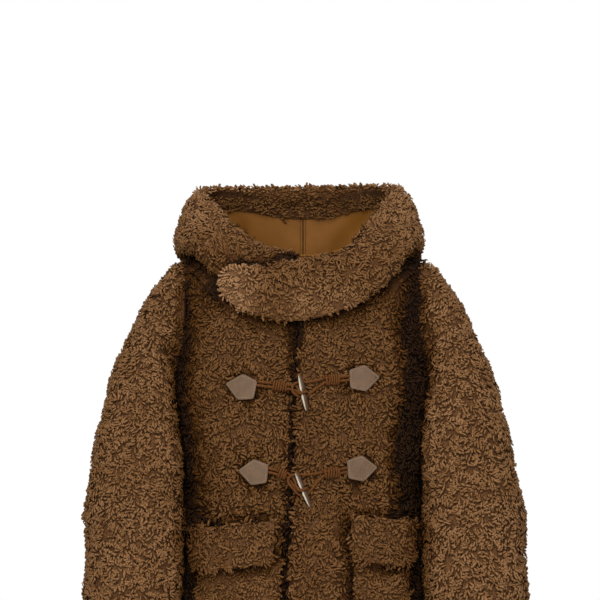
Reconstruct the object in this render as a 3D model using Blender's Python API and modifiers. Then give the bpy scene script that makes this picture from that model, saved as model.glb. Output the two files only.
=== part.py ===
"""A shearling hooded jacket, filled out as if worn, with no wearer.

The frame: metres, +Z up, the front faces -Y and the wearer's left is +X. The origin is the neck
base, on the centre line at the height of the shoulder seams' neck ends. Each wall has its pile in
its thickness, so a solid's outer face is where the tips of the curls are.
"""

import math

import bmesh
import bpy
from mathutils import Vector

# ---------------------------------------------------------------- driving sizes
FUR_WALL = 0.012  # hide and pile together
SEAM_GAP = 0.0003
LAYER_GAP = 0.0004
ON_FRONT_GAP = 0.0011  # under what lies on the fronts
HOOD_CLEARANCE = 0.0050  # from the shoulders to the hood that lies over them
BODY_POWER = 2.6  # roundness of the body's level sections: 2 is an ellipse, more is boxier

# Level sections of the body: height, half width, depth to the front, depth to the back
BODY_SECTIONS = (
    (0.012, 0.088, 0.060, 0.075),
    (-0.012, 0.142, 0.067, 0.084),
    (-0.036, 0.190, 0.079, 0.096),
    (-0.060, 0.200, 0.091, 0.110),
    (-0.090, 0.205, 0.106, 0.128),
    (-0.160, 0.207, 0.130, 0.149),
    (-0.250, 0.203, 0.147, 0.156),
    (-0.330, 0.196, 0.152, 0.154),
    (-0.400, 0.194, 0.154, 0.152),
    (-0.480, 0.197, 0.157, 0.154),
    (-0.560, 0.205, 0.161, 0.158),
    (-0.640, 0.219, 0.165, 0.163),
    (-0.700, 0.233, 0.168, 0.167),
)
HEM_HEIGHT = BODY_SECTIONS[-1][0]
NECK_HEIGHT = BODY_SECTIONS[0][0]
NECK_HALF_WIDTH = BODY_SECTIONS[0][1]
FRONT_NECK_DROP = 0.130
BACK_NECK_DROP = 0.020

# The armhole, an oval in side view
ARMHOLE_TOP = -0.036
ARMHOLE_BOTTOM = -0.250
ARMHOLE_HALF_DEPTH = 0.066
SHARPEST_MITER = 1.22
ARMHOLE_STEPS = 9  # steps from the underarm to the shoulder point, on the front and on the back

# Closure: the left front laps over the right one
LAP_LIFT = 0.0145
LAP_FULL_TO = 0.030  # the lift is whole up to here, then fades out
LAP_FADE = 0.047
UNDERLAP = 0.022
# Free edge of the left front: height, how far past the centre line it laps
LAP_EDGE = (
    (-0.700, 0.0235),
    (-0.560, 0.0225),
    (-0.464, 0.0175),
    (-0.400, 0.0135),
    (-0.245, 0.0095),
    (-0.118, 0.0045),
)

# Sleeve sections: outer edge x, z, inner edge x, z, middle y, half depth
SLEEVE_SECTIONS = (
    (0.211, -0.047, 0.211, -0.256, -0.002, 0.074),
    (0.227, -0.073, 0.213, -0.260, -0.007, 0.082),
    (0.248, -0.113, 0.214, -0.265, -0.015, 0.087),
    (0.274, -0.168, 0.212, -0.275, -0.026, 0.089),
    (0.299, -0.234, 0.206, -0.294, -0.043, 0.088),
    (0.318, -0.294, 0.200, -0.332, -0.058, 0.085),
    (0.336, -0.358, 0.195, -0.376, -0.072, 0.082),
    (0.350, -0.438, 0.192, -0.447, -0.085, 0.080),
    (0.357, -0.519, 0.191, -0.521, -0.094, 0.079),
    (0.357, -0.590, 0.197, -0.586, -0.100, 0.076),
    (0.350, -0.645, 0.206, -0.637, -0.105, 0.072),
)
SLEEVE_RINGS = 18
SLEEVE_FOLDS = 3
SLEEVE_FOLD_DEPTH = 0.0035

# The hood, cut by planes through an upright axis. Angles are from the centre front. Each section
# is five points of the fur side, as radius and height: under (over the neck seam), low (its lowest
# bend), full (its fullest place), upper (where the facing starts) and rim.
HOOD_AXIS_Y = 0.005
HOOD_LEFT = (
    (180, (0.122, -0.066), (0.186, -0.176), (0.229, -0.108), (0.187, 0.036), (0.146, 0.082)),
    (150, (0.127, -0.052), (0.184, -0.146), (0.226, -0.084), (0.198, 0.038), (0.160, 0.083)),
    (130, (0.140, -0.034), (0.190, -0.096), (0.217, -0.052), (0.200, 0.040), (0.171, 0.085)),
    (110, (0.148, -0.010), (0.188, -0.042), (0.203, -0.014), (0.186, 0.044), (0.166, 0.085)),
    (90, (0.140, 0.002), (0.181, -0.024), (0.191, -0.002), (0.172, 0.040), (0.133, 0.071)),
    (75, (0.134, -0.012), (0.174, -0.028), (0.185, -0.006), (0.164, 0.026), (0.120, 0.053)),
    (60, (0.136, -0.050), (0.170, -0.060), (0.181, -0.026), (0.157, 0.011), (0.115, 0.033)),
    (45, (0.139, -0.082), (0.166, -0.090), (0.173, -0.058), (0.147, -0.021), (0.114, 0.003)),
    (30, (0.144, -0.100), (0.160, -0.109), (0.166, -0.076), (0.146, -0.043), (0.117, -0.012)),
    (15, (0.144, -0.113), (0.155, -0.124), (0.160, -0.092), (0.144, -0.058), (0.120, -0.025)),
    (0, (0.144, -0.119), (0.154, -0.134), (0.158, -0.100), (0.146, -0.064), (0.123, -0.031)),
    (-15, (0.147, -0.130), (0.156, -0.133), (0.160, -0.102), (0.152, -0.066), (0.134, -0.034)),
    (-25, (0.149, -0.124), (0.158, -0.127), (0.163, -0.098), (0.158, -0.066), (0.144, -0.038)),
    (-35, (0.154, -0.116), (0.162, -0.119), (0.166, -0.094), (0.163, -0.066), (0.154, -0.041)),
    (-41, (0.160, -0.107), (0.167, -0.110), (0.170, -0.092), (0.170, -0.066), (0.164, -0.042)),
    (-45, (0.165, -0.098), (0.171, -0.101), (0.174, -0.088), (0.175, -0.064), (0.171, -0.044)),
    (-48, (0.169, -0.087), (0.175, -0.091), (0.178, -0.081), (0.178, -0.064), (0.177, -0.055)),
)
HOOD_RIGHT = (
    (180, (0.122, -0.066), (0.186, -0.176), (0.229, -0.108), (0.187, 0.036), (0.146, 0.082)),
    (150, (0.127, -0.052), (0.184, -0.146), (0.227, -0.084), (0.199, 0.037), (0.162, 0.081)),
    (130, (0.142, -0.034), (0.194, -0.096), (0.223, -0.052), (0.207, 0.038), (0.177, 0.081)),
    (110, (0.150, -0.010), (0.196, -0.043), (0.216, -0.018), (0.199, 0.040), (0.180, 0.079)),
    (90, (0.142, 0.002), (0.187, -0.026), (0.203, -0.010), (0.186, 0.034), (0.140, 0.066)),
    (75, (0.134, -0.012), (0.178, -0.029), (0.192, -0.008), (0.173, 0.026), (0.124, 0.050)),
    (62, (0.134, -0.047), (0.167, -0.058), (0.181, -0.022), (0.159, 0.013), (0.119, 0.035)),
    (50, (0.132, -0.072), (0.153, -0.079), (0.162, -0.046), (0.140, -0.009), (0.112, 0.013)),
    (35, (0.130, -0.096), (0.145, -0.100), (0.151, -0.068), (0.132, -0.032), (0.105, -0.003)),
    (20, (0.130, -0.111), (0.140, -0.116), (0.145, -0.086), (0.130, -0.048), (0.103, -0.014)),
    (8, (0.130, -0.117), (0.138, -0.122), (0.142, -0.092), (0.128, -0.055), (0.103, -0.021)),
)
HOOD_STATIONS_LEFT = (180, 168, 156, 144, 132, 121, 110, 100, 90, 80, 70, 60, 50, 40, 30, 20, 10,
                      3, -2, -8, -16, -25, -33, -39, -43, -46, -48)
HOOD_STATIONS_RIGHT = (180, 168, 156, 144, 132, 121, 110, 100, 90, 80, 70, 60, 50, 40, 30, 20, 8)
HOOD_STEPS = (2, 3, 3, 3)  # steps from the seam to under, low, full and upper
RIM_STEPS = (0.0, 0.38, 0.70, 0.90, 1.0)  # shares of the way from upper to the rim
RIM_ROUNDING = (0.0, 0.0, 0.0, 0.0018, 0.0055)  # how far the pile draws in at those
HOOD_WALLS = (0.0035, 0.004, 0.0055, 0.010, 0.011)  # wall at the seam, under, low, full and upper
FOLD_FILLED = 0.88  # how much of the room inside its fold the hood's two sides may take
THINNEST_WALL = 0.0015
FACING_WALL = 0.008
LINING_WALL = 0.002
LINING_STARTS_AT = 6  # the row of the hood, just past its lowest bend
TAB_STARTS_AT = 2.0  # past this angle the left half is free of the neck seam
TAB_FREED_OVER = 9.0
FACING_ENDS_AT = 10

# Pockets and flaps, on the fronts: inner edge, outer edge, then the heights
POCKET_WALL = 0.008
FLAP_WALL = 0.009
POCKET_EDGES = {"right": (0.036, 0.168), "left": (0.078, 0.168)}
FLAP_EDGES = {"right": (0.042, 0.172), "left": (0.072, 0.172)}
POCKET_TOP = -0.458
POCKET_BOTTOM = -0.640
# Flap: share of its width, top, bottom
FLAP_HEIGHTS = {
    "right": ((0.0, -0.452, -0.522), (0.5, -0.459, -0.531), (1.0, -0.466, -0.541)),
    "left": ((0.0, -0.447, -0.516), (0.5, -0.449, -0.525), (1.0, -0.452, -0.533)),
}
FLAP_CORNER = 0.022

# Fastenings. Places are as seen from the front: x, z and the turn about the line of sight
PATCH_WALL = 0.0025
PATCHES = {
    "patch_right_upper": (-0.099, -0.240, -12.0),
    "patch_left_upper": (0.098, -0.226, 4.0),
    "patch_right_lower": (-0.080, -0.376, -6.0),
    "patch_left_lower": (0.095, -0.370, 4.0),
}
# Outline of a patch that points along +x: a flat edge inwards, then two sides to a blunt tip
PATCH_OUTLINE = ((-0.024, -0.0145), (0.001, -0.0215), (0.025, 0.0), (0.001, 0.0215), (-0.024, 0.0145))
PATCH_CORNER = 0.0035

TOGGLE_LENGTH = 0.060
TOGGLE_BEND = 0.0022
# Toggle: share of its length, radius
TOGGLE_PROFILE = (
    (-0.500, 0.0),
    (-0.497, 0.0014),
    (-0.478, 0.0026),
    (-0.36, 0.0036),
    (-0.16, 0.0047),
    (-0.085, 0.0049),
    (-0.052, 0.0036),
    (0.0, 0.0031),
    (0.052, 0.0036),
    (0.085, 0.0049),
    (0.16, 0.0047),
    (0.36, 0.0036),
    (0.478, 0.0026),
    (0.497, 0.0014),
    (0.500, 0.0),
)
TOGGLES = {"toggle_upper": (0.0005, -0.251, 12.0), "toggle_lower": (0.0005, -0.404, 23.0)}

TOGGLE_STANDS_OFF = 0.0105  # of its middle, over the left front

# Cords. Each fastening has one doubled cord round the toggle's waist and one that makes the loop,
# each held by a whipping. Heights are over the left front's fur side, carried on past its edge,
# so the right front's fur side is a lap's lift lower.
CORD_RADIUS = 0.0021
STRAND_SPACING = 0.0062
CORD_POINT_SPACING = 0.0056
ON_RIGHT = -LAP_LIFT
WHIPPING_HALF_SIZE = (0.0084, 0.0056)  # across both strands, and out from the front
WHIPPING_HOLE = (0.0068, 0.0038)
WHIPPING_TURNS = 5
WHIPPING_GROOVE = 0.0009
WAIST_WRAP = 0.0061  # from the toggle's middle line to the cord's
# Whipping: start x and z, end x and z, height of its middle
WHIPPINGS = {
    "upper_toggle": (-0.050, -0.2374, -0.0265, -0.2400, ON_RIGHT + 0.0061),
    "upper_loop": (0.034, -0.2320, 0.0555, -0.2292, 0.0066),
    "lower_toggle": (-0.0405, -0.3766, -0.0255, -0.3805, ON_RIGHT + 0.0061),
    "lower_loop": (0.032, -0.3785, 0.0555, -0.3750, 0.0066),
}
# Cord routes as x, z and height, from the patch to the whipping, then from the whipping to the
# turn, and the other strand back
CORD_ROUTES = {
    "upper_toggle": (
        ((-0.0716, -0.2314, ON_RIGHT + 0.0036), (-0.063, -0.2328, ON_RIGHT + 0.005)),
        ((-0.0185, -0.2382, -0.0042), (-0.0115, -0.2395, 0.0016), (-0.0085, -0.243, 0.0046)),
        ((-0.0068, -0.2515, 0.0046), (-0.0105, -0.2475, 0.0026), (-0.0140, -0.2458, -0.0006),
         (-0.0190, -0.2446, -0.0046)),
        ((-0.063, -0.2390, ON_RIGHT + 0.005), (-0.0730, -0.2372, ON_RIGHT + 0.0036)),
    ),
    "upper_loop": (
        ((0.0730, -0.2228, 0.0036), (0.063, -0.2248, 0.005)),
        ((0.022, -0.2315, 0.0040), (0.010, -0.2338, 0.0028), (0.0, -0.2345, 0.0028),
         (-0.009, -0.2352, 0.0046), (-0.0152, -0.2388, 0.0068), (-0.0172, -0.2450, 0.0068)),
        ((-0.0148, -0.2505, 0.0054), (-0.008, -0.2555, 0.0036), (0.0, -0.2568, 0.0028),
         (0.007, -0.2545, 0.0028), (0.013, -0.2500, 0.0028), (0.022, -0.2432, 0.0036)),
        ((0.063, -0.2310, 0.005), (0.0734, -0.2290, 0.0036)),
    ),
    "lower_toggle": (
        ((-0.0548, -0.3698, ON_RIGHT + 0.0036), (-0.048, -0.3713, ON_RIGHT + 0.005)),
        ((-0.0205, -0.3800, -0.0046), (-0.0166, -0.3845, 0.0012), (-0.0125, -0.3905, 0.0046),
         (-0.0108, -0.398, 0.0066)),
        ((-0.0072, -0.4055, 0.0046), (-0.0125, -0.4000, 0.0034), (-0.0175, -0.3935, 0.0010),
         (-0.0212, -0.3880, -0.0035)),
        ((-0.048, -0.3775, ON_RIGHT + 0.005), (-0.0548, -0.3760, ON_RIGHT + 0.0036)),
    ),
    "lower_loop": (
        ((0.0695, -0.3692, 0.0036), (0.063, -0.3706, 0.005)),
        ((0.021, -0.3780, 0.0040), (0.010, -0.3796, 0.0028), (-0.001, -0.3802, 0.0028),
         (-0.011, -0.3798, 0.0034), (-0.0185, -0.3815, 0.0048), (-0.0228, -0.3865, 0.0046)),
        ((-0.0232, -0.3925, 0.0044), (-0.0185, -0.3990, 0.0048), (-0.0128, -0.4058, 0.0036),
         (-0.005, -0.4125, 0.0028), (0.005, -0.4122, 0.0028), (0.013, -0.4045, 0.0028),
         (0.022, -0.3925, 0.0036)),
        ((0.063, -0.3768, 0.005), (0.0695, -0.3754, 0.0036)),
    ),
}


# ---------------------------------------------------------------- small helpers
def smooth(share):
    """0 to 1 with level ends."""
    share = min(max(share, 0.0), 1.0)
    return share * share * (3 - 2 * share)


def mix(a, b, share):
    return a + (b - a) * share


def through(knots, values, at):
    """A smooth curve through values at rising knots, which never overshoots them."""
    if at <= knots[0]:
        return values[0]
    if at >= knots[-1]:
        return values[-1]
    steps = [b - a for a, b in zip(knots, knots[1:])]
    slopes = [(b - a) / step for a, b, step in zip(values, values[1:], steps)]
    tangents = [slopes[0]]
    for left, right, before, after in zip(slopes, slopes[1:], steps, steps[1:]):
        if left * right <= 0:
            tangents.append(0.0)
        else:
            near = 2 * after + before
            far = after + 2 * before
            tangents.append((near + far) / (near / left + far / right))
    tangents.append(slopes[-1])
    i = max(k for k in range(len(steps)) if knots[k] <= at)
    t = (at - knots[i]) / steps[i]
    return (
        (2 * t**3 - 3 * t**2 + 1) * values[i]
        + (t**3 - 2 * t**2 + t) * steps[i] * tangents[i]
        + (3 * t**2 - 2 * t**3) * values[i + 1]
        + (t**3 - t**2) * steps[i] * tangents[i + 1]
    )


def column_of(table, column, at):
    """One column of a table at a value of its first column."""
    rows = sorted(table, key=lambda row: row[0])
    return through([row[0] for row in rows], [row[column] for row in rows], at)


def material(name, colour, roughness, metallic=0.0):
    made = bpy.data.materials.new(name)
    made.use_nodes = True
    shader = made.node_tree.nodes["Principled BSDF"]
    shader.inputs["Base Color"].default_value = (*colour, 1.0)
    shader.inputs["Roughness"].default_value = roughness
    shader.inputs["Metallic"].default_value = metallic
    return made


def finish_mesh(name, mesh_data, finish):
    """Puts a bmesh into the scene as a named part, its faces outwards."""
    bmesh.ops.remove_doubles(mesh_data, verts=mesh_data.verts, dist=1e-7)
    bmesh.ops.recalc_face_normals(mesh_data, faces=mesh_data.faces)
    mesh = bpy.data.meshes.new(name)
    mesh_data.to_mesh(mesh)
    mesh_data.free()
    mesh.materials.append(finish)
    mesh.shade_smooth()
    mesh.set_sharp_from_angle(angle=math.radians(50))
    part = bpy.data.objects.new(name, mesh)
    jacket.objects.link(part)
    return part


def wall(name, outer, inner, finish, ring=False):
    """A closed wall between two grids of points; with ring, each row closes on itself."""
    shell = bmesh.new()
    rows, columns = len(outer), len(outer[0])
    front = [[shell.verts.new(p) for p in row] for row in outer]
    back = [[shell.verts.new(p) for p in row] for row in inner]
    last = columns if ring else columns - 1
    for i in range(rows - 1):
        for j in range(last):
            k = (j + 1) % columns
            for side in (front, back):
                shell.faces.new((side[i][j], side[i][k], side[i + 1][k]))
                shell.faces.new((side[i][j], side[i + 1][k], side[i + 1][j]))
    for i in (0, rows - 1):
        for j in range(last):
            k = (j + 1) % columns
            shell.faces.new((front[i][j], front[i][k], back[i][k], back[i][j]))
    if not ring:
        for j in (0, columns - 1):
            for i in range(rows - 1):
                shell.faces.new((front[i][j], front[i + 1][j], back[i + 1][j], back[i][j]))
    return finish_mesh(name, shell, finish)


def mirrored(grid, side):
    """A grid modelled for the wearer's left, for the given side."""
    return [[Vector((side * p.x, p.y, p.z)) for p in row] for row in grid]


# ---------------------------------------------------------------- the body's surface
def section(z):
    """Half width, front depth and back depth of the body at a height."""
    return [column_of(BODY_SECTIONS, column, z) for column in (1, 2, 3)]


def drape(turn, z):
    """Soft, wide unevenness of the hide, outwards."""
    low = smooth((-0.16 - z) / 0.2) * smooth((abs(turn) - 0.15) / 0.45)
    return low * 0.0022 * (math.sin(4 * turn + 9 * z) + 0.6 * math.sin(7 * turn - 21 * z + 1.0))


def body_point(turn, z):
    """The body's fur side: turn is 0 at the centre front, a quarter turn at the wearer's left."""
    width, front, back = section(z)
    s, c = math.sin(turn), math.cos(turn)
    reach = (abs(s) ** BODY_POWER + abs(c) ** BODY_POWER) ** (-1 / BODY_POWER)
    depth = front if c > 0 else back
    point = Vector((width * reach * s, -depth * reach * c, z))
    level = Vector((point.x, point.y, 0)).normalized()
    return point + level * drape(turn, z)


def body_normal(turn, z):
    step = 0.004
    along = body_point(turn + step, z) - body_point(turn - step, z)
    up = body_point(turn, min(z + step, NECK_HEIGHT)) - body_point(turn, z - step)
    normal = along.cross(up).normalized()
    return normal


def turn_of_x(x, z):
    """The turn at which the front of the body has this x."""
    width = section(z)[0]
    share = min(abs(x) / width, 1.0)
    other = (1 - share**BODY_POWER) ** (1 / BODY_POWER)
    return math.copysign(math.atan2(share, other), x)


def turn_of_y(y, z):
    """The turn at which the wearer's left side of the body has this y."""
    _, front, back = section(z)
    share = min(abs(y) / (front if y < 0 else back), 1.0)
    across = (1 - share**BODY_POWER) ** (1 / BODY_POWER)
    return math.atan2(across, -math.copysign(share, y))


def neck_line(angle, drop):
    """A point of the neckline as turn and height: angle 0 is the centre, a quarter turn the
    shoulder seam."""
    x = NECK_HALF_WIDTH * math.sin(angle)
    z = NECK_HEIGHT - drop * math.cos(angle)
    return turn_of_x(x, z), z


def lap_lift(x):
    return LAP_LIFT * (1 - smooth((x - LAP_FULL_TO) / LAP_FADE))


def armhole_line(step, facing):
    """A point of the armhole as turn and height; facing is -1 on the front and 1 on the back."""
    angle = math.pi * step / ARMHOLE_STEPS
    middle = (ARMHOLE_TOP + ARMHOLE_BOTTOM) / 2
    half = (ARMHOLE_TOP - ARMHOLE_BOTTOM) / 2
    z = middle - half * math.cos(angle)
    y = facing * ARMHOLE_HALF_DEPTH * math.sin(angle)
    return turn_of_y(y, z), z


# ---------------------------------------------------------------- sleeves
def sleeve_ring(share):
    """One ring of the sleeve's fur side, from the underarm round the front to the top and back."""
    knots = [k / (len(SLEEVE_SECTIONS) - 1) for k in range(len(SLEEVE_SECTIONS))]
    values = [through(knots, column, share) for column in zip(*SLEEVE_SECTIONS)]
    outer_x, outer_z, inner_x, inner_z, middle_y, half_depth = values
    outer = Vector((outer_x, middle_y, outer_z))
    inner = Vector((inner_x, middle_y, inner_z))
    middle = (outer + inner) / 2
    half = (outer - inner) / 2
    ring = []
    for step in range(2 * ARMHOLE_STEPS):
        angle = math.pi * step / ARMHOLE_STEPS
        fold = SLEEVE_FOLD_DEPTH * smooth(share / 0.35) * smooth((1 - share) / 0.2)
        fold *= math.sin(2 * math.pi * SLEEVE_FOLDS * 2 * share + 1.7 * math.sin(angle))
        swell = 1 + fold * (1 - 0.5 * math.cos(angle)) / half_depth
        level = Vector((0, -half_depth * math.sin(angle), 0))
        ring.append(middle + (level - half * math.cos(angle)) * swell)
    return ring


def armhole_seam():
    """The armhole as the sleeve meets it: for each place its point, the step to the inner edge
    of the seam that body and sleeve share, and the way from the body to the sleeve."""
    first = sleeve_ring(0)
    places = []
    for step in range(2 * ARMHOLE_STEPS):
        if step <= ARMHOLE_STEPS:
            turn, z = armhole_line(step, -1)
        else:
            turn, z = armhole_line(2 * ARMHOLE_STEPS - step, 1)
        places.append((body_point(turn, z), body_normal(turn, z)))
    seam = []
    count = len(places)
    for k, (point, normal) in enumerate(places):
        along = (places[(k + 1) % count][0] - places[k - 1][0]).normalized()
        outwards = (first[k] - point).cross(along).normalized()
        if outwards.dot(point - Vector((point.x, 0, (ARMHOLE_TOP + ARMHOLE_BOTTOM) / 2))) < 0:
            outwards.negate()
        inwards = -(normal + outwards) * FUR_WALL / max(1 + normal.dot(outwards), SHARPEST_MITER)
        across = inwards.cross(along).normalized()
        if across.x < 0:
            across.negate()
        seam.append((point, inwards, across))
    return seam


ARMHOLE_SEAM = armhole_seam()


def grid_normals(grid):
    """Normals of a grid of rings that close on themselves."""
    rows, columns = len(grid), len(grid[0])
    normals = []
    for i in range(rows):
        row = []
        for j in range(columns):
            along = grid[min(i + 1, rows - 1)][j] - grid[max(i - 1, 0)][j]
            round_it = grid[i][(j + 1) % columns] - grid[i][j - 1]
            row.append(along.cross(round_it).normalized())
        normals.append(row)
    return normals


def make_sleeve(name, side):
    outer = [[point + across * SEAM_GAP / 2 for point, _, across in ARMHOLE_SEAM]]
    outer += [sleeve_ring(k / (SLEEVE_RINGS - 1)) for k in range(SLEEVE_RINGS)]
    normals = grid_normals(outer)
    middle = sum(outer[3], Vector()) / len(outer[3])
    if normals[3][0].dot(outer[3][0] - middle) < 0:
        normals = [[-n for n in row] for row in normals]
    inner = [[p - n * FUR_WALL for p, n in zip(*rows)] for rows in zip(outer, normals)]
    inner[0] = [p + step for p, (_, step, _) in zip(outer[0], ARMHOLE_SEAM)]
    wall(name, mirrored(outer, side), mirrored(inner, side), fur, ring=True)


# ---------------------------------------------------------------- body panels
BODY_STEPS = 9  # rows from the hem to the underarm
SHOULDER_STEPS = 3
PANEL_COLUMNS = 12


def panel_rows(centre_heights, facing):
    """The rows of a panel as (height at the centre line, turn and height at the side, seam place)."""
    rows = []
    for k in range(BODY_STEPS):
        share = k / BODY_STEPS
        z = mix(HEM_HEIGHT, ARMHOLE_BOTTOM, share)
        rows.append((mix(HEM_HEIGHT, centre_heights[0], share), math.pi / 2, z, None))
    for k in range(ARMHOLE_STEPS + 1):
        turn, z = armhole_line(k, facing)
        place = k if facing < 0 else (2 * ARMHOLE_STEPS - k) % (2 * ARMHOLE_STEPS)
        centre = mix(centre_heights[0], centre_heights[1], k / ARMHOLE_STEPS)
        rows.append((centre, turn, z, place))
    for k in range(1, SHOULDER_STEPS + 1):
        share = k / SHOULDER_STEPS
        z = mix(ARMHOLE_TOP, NECK_HEIGHT, share)
        rows.append((mix(centre_heights[1], centre_heights[2], share), math.pi / 2, z, None))
    return rows


def panel_grid(side, facing):
    """Fur side and hide side of half the front or half the back, for the wearer's left. Columns
    run from the centre to the side seam, armhole and shoulder seam; rows from hem to neck."""
    front = facing < 0
    drop = FRONT_NECK_DROP if front else BACK_NECK_DROP
    heights = (-0.300, -0.175, NECK_HEIGHT - drop) if front else (-0.250, -0.060, NECK_HEIGHT - drop)
    rows = panel_rows(heights, facing)
    first_armhole = BODY_STEPS
    outer, inner = [], []
    for i, (centre_z, side_turn, side_z, place) in enumerate(rows):
        reach = free_edge(side, centre_z) if front else 0.0
        start_turn = turn_of_x(reach, centre_z)
        neck_start = math.asin(free_edge(side, heights[2]) / NECK_HALF_WIDTH) if front else 0.0
        neck_share = max(i - first_armhole, 0) / (len(rows) - 1 - first_armhole)
        weight = neck_share**2.2
        row_outer, row_inner = [], []
        for j in range(PANEL_COLUMNS + 1):
            u = (j / PANEL_COLUMNS) ** (1.2 if front else 1.0)
            neck_turn, neck_z = neck_line(mix(neck_start, math.pi / 2, u), drop)
            turn_0, z_0 = neck_line(neck_start, drop)
            bend_turn = neck_turn - mix(turn_0, math.pi / 2, u)
            bend_z = neck_z - mix(z_0, NECK_HEIGHT, u)
            side_front_turn = side_turn if front else math.pi - side_turn
            turn = mix(start_turn, side_front_turn, u) + weight * bend_turn
            z = mix(centre_z, side_z, u) + weight * bend_z
            real_turn = turn if front else math.pi - turn
            point, normal = body_point(real_turn, z), body_normal(real_turn, z)
            if front and side > 0:
                point = point + normal * lap_lift(point.x)
            hide = point - normal * FUR_WALL
            if j == PANEL_COLUMNS:
                if place is None:
                    pull = Vector((0, facing * SEAM_GAP / 2, 0))
                else:
                    _, step, across = ARMHOLE_SEAM[place]
                    pull = -across * SEAM_GAP / 2
                    hide = point + step
                    if place in (0, ARMHOLE_STEPS):
                        pull = pull + Vector((0, facing * SEAM_GAP / 2, 0))
                point, hide = point + pull, hide + pull
            row_outer.append(point)
            row_inner.append(hide)
        outer.append(row_outer)
        inner.append(row_inner)
    return outer, inner


def free_edge(side, z):
    """Where a front starts, as x for the wearer's left; beyond the centre line it is negative."""
    return -column_of(LAP_EDGE, 1, z) if side > 0 else -UNDERLAP


def make_fronts():
    for name, side in (("front_right", -1), ("front_left", 1)):
        outer, inner = panel_grid(side, -1)
        wall(name, mirrored(outer, side), mirrored(inner, side), fur)


def make_back():
    """Both halves in one piece, from the right side seam to the left."""
    outer, inner = panel_grid(1, 1)
    whole_outer = [a[:0:-1] + b for a, b in zip(mirrored(outer, -1), outer)]
    whole_inner = [a[:0:-1] + b for a, b in zip(mirrored(inner, -1), inner)]
    wall("back", whole_outer, whole_inner, fur)


# ---------------------------------------------------------------- the hood
def neck_seam_at(angle_deg, side):
    """Radius and height, about the hood's axis, of the neckline's fur side at an angle."""
    target = math.radians(angle_deg)
    best = None
    for k in range(-20, 181):
        angle = math.radians(k)
        if angle <= math.pi / 2:
            turn, z = neck_line(angle, FRONT_NECK_DROP)
        else:
            turn, z = neck_line(math.pi - angle, BACK_NECK_DROP)
            turn = math.pi - turn
        point = body_point(turn, z)
        if side > 0 and turn < math.pi / 2:
            point = point + body_normal(turn, z) * lap_lift(point.x)
        radius = math.hypot(point.x, HOOD_AXIS_Y - point.y)
        off = abs(math.atan2(point.x, HOOD_AXIS_Y - point.y) - target)
        if best is None or off < best[0]:
            best = (off, radius, point.z)
    return best[1], best[2]


def spline(points, steps):
    """Points on a smooth plane curve through the given ones, steps[i] of them from each to the
    next, and the share of the way from knot to knot for each."""
    padded = [2 * points[0] - points[1], *points, 2 * points[-1] - points[-2]]
    found, places = [], []
    for i, count in enumerate(steps):
        a, b, c, d = padded[i : i + 4]
        span = (c - b).length
        ease_b = min(1.0, 2 * span / max((c - a).length, 1e-9))
        ease_c = min(1.0, 2 * span / max((d - b).length, 1e-9))
        slope_b, slope_c = (c - a) / 2 * ease_b, (d - b) / 2 * ease_c
        shares = [k / count for k in range(count)] if isinstance(count, int) else count
        for t in shares:
            found.append(
                (2 * t**3 - 3 * t**2 + 1) * b
                + (t**3 - 2 * t**2 + t) * slope_b
                + (3 * t**2 - 2 * t**3) * c
                + (t**3 - t**2) * slope_c
            )
            places.append(i + t)
    return found, places


def shoulder_height(x, y, side):
    """The height of the body's fur side over a place in plan, or none past its edge."""

    def outside(z):
        width, front, back = section(z)
        depth = front if y < 0 else back
        return (abs(x) / width) ** BODY_POWER + (abs(y) / depth) ** BODY_POWER > 1

    low, high = BODY_SECTIONS[5][0], NECK_HEIGHT
    if outside(low):
        return None
    for _ in range(24):
        middle = (low + high) / 2
        low, high = (low, middle) if outside(middle) else (middle, high)
    return low + (lap_lift(x) if side > 0 and y < 0 else 0.0)


def room_inside(points, k, inward):
    """The radius of the largest disc that touches a path at one of its points, on its inner side,
    and has no other point of the path in it."""
    room = 1.0
    for other in points:
        away = other - points[k]
        if away.dot(inward) > 1e-6:
            room = min(room, away.length_squared / (2 * away.dot(inward)))
    return room


def hood_section(table, side, angle):
    """The fur side of the hood at an angle, as plane points (radius, height) from the neck seam
    to the rim, with the inward normal and the wall at each."""
    knots = [Vector((0.0, 0.0))]
    for column in range(1, 6):
        radius = column_of([(row[0], row[column][0]) for row in table], 1, angle)
        height = column_of([(row[0], row[column][1]) for row in table], 1, angle)
        knots.append(Vector((radius, height)))
    tied = 1.0
    if side > 0:
        tied = smooth((angle - TAB_STARTS_AT + TAB_FREED_OVER) / TAB_FREED_OVER)
    seam = Vector(neck_seam_at(max(angle, 0.0), side)) + Vector((0.0, HOOD_CLEARANCE / 2))
    loose = knots[1] + Vector((-0.004, 0.003))
    knots[0] = loose.lerp(seam, tied)
    points, places = spline(knots, [*HOOD_STEPS, RIM_STEPS])
    turn = math.radians(angle)
    for k in range(1, sum(HOOD_STEPS[:2]) + 1):
        x, y = points[k].x * math.sin(turn), HOOD_AXIS_Y - points[k].x * math.cos(turn)
        below = shoulder_height(x, y, side)
        if below is not None:
            points[k].y = max(points[k].y, below + HOOD_CLEARANCE)
    result = []
    for k, (point, place) in enumerate(zip(points, places)):
        along = (points[min(k + 2, len(points) - 1)] - points[max(k - 2, 0)]).normalized()
        inward = Vector((-along.y, along.x))
        thick = through([0, 1, 2, 3, 4], HOOD_WALLS, place)
        if 0 < k <= sum(HOOD_STEPS[:3]):
            room = FOLD_FILLED * room_inside(points, k, inward)
            thick = min(thick, max(room - LAYER_GAP - LINING_WALL, THINNEST_WALL))
        result.append((point, inward, thick))
    return result


def hood_point(flat, angle, side):
    turn = math.radians(angle)
    x = flat.x * math.sin(turn)
    if angle == 180:
        x = SEAM_GAP / 2
    return Vector((side * x, HOOD_AXIS_Y - flat.x * math.cos(turn), flat.y))


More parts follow.
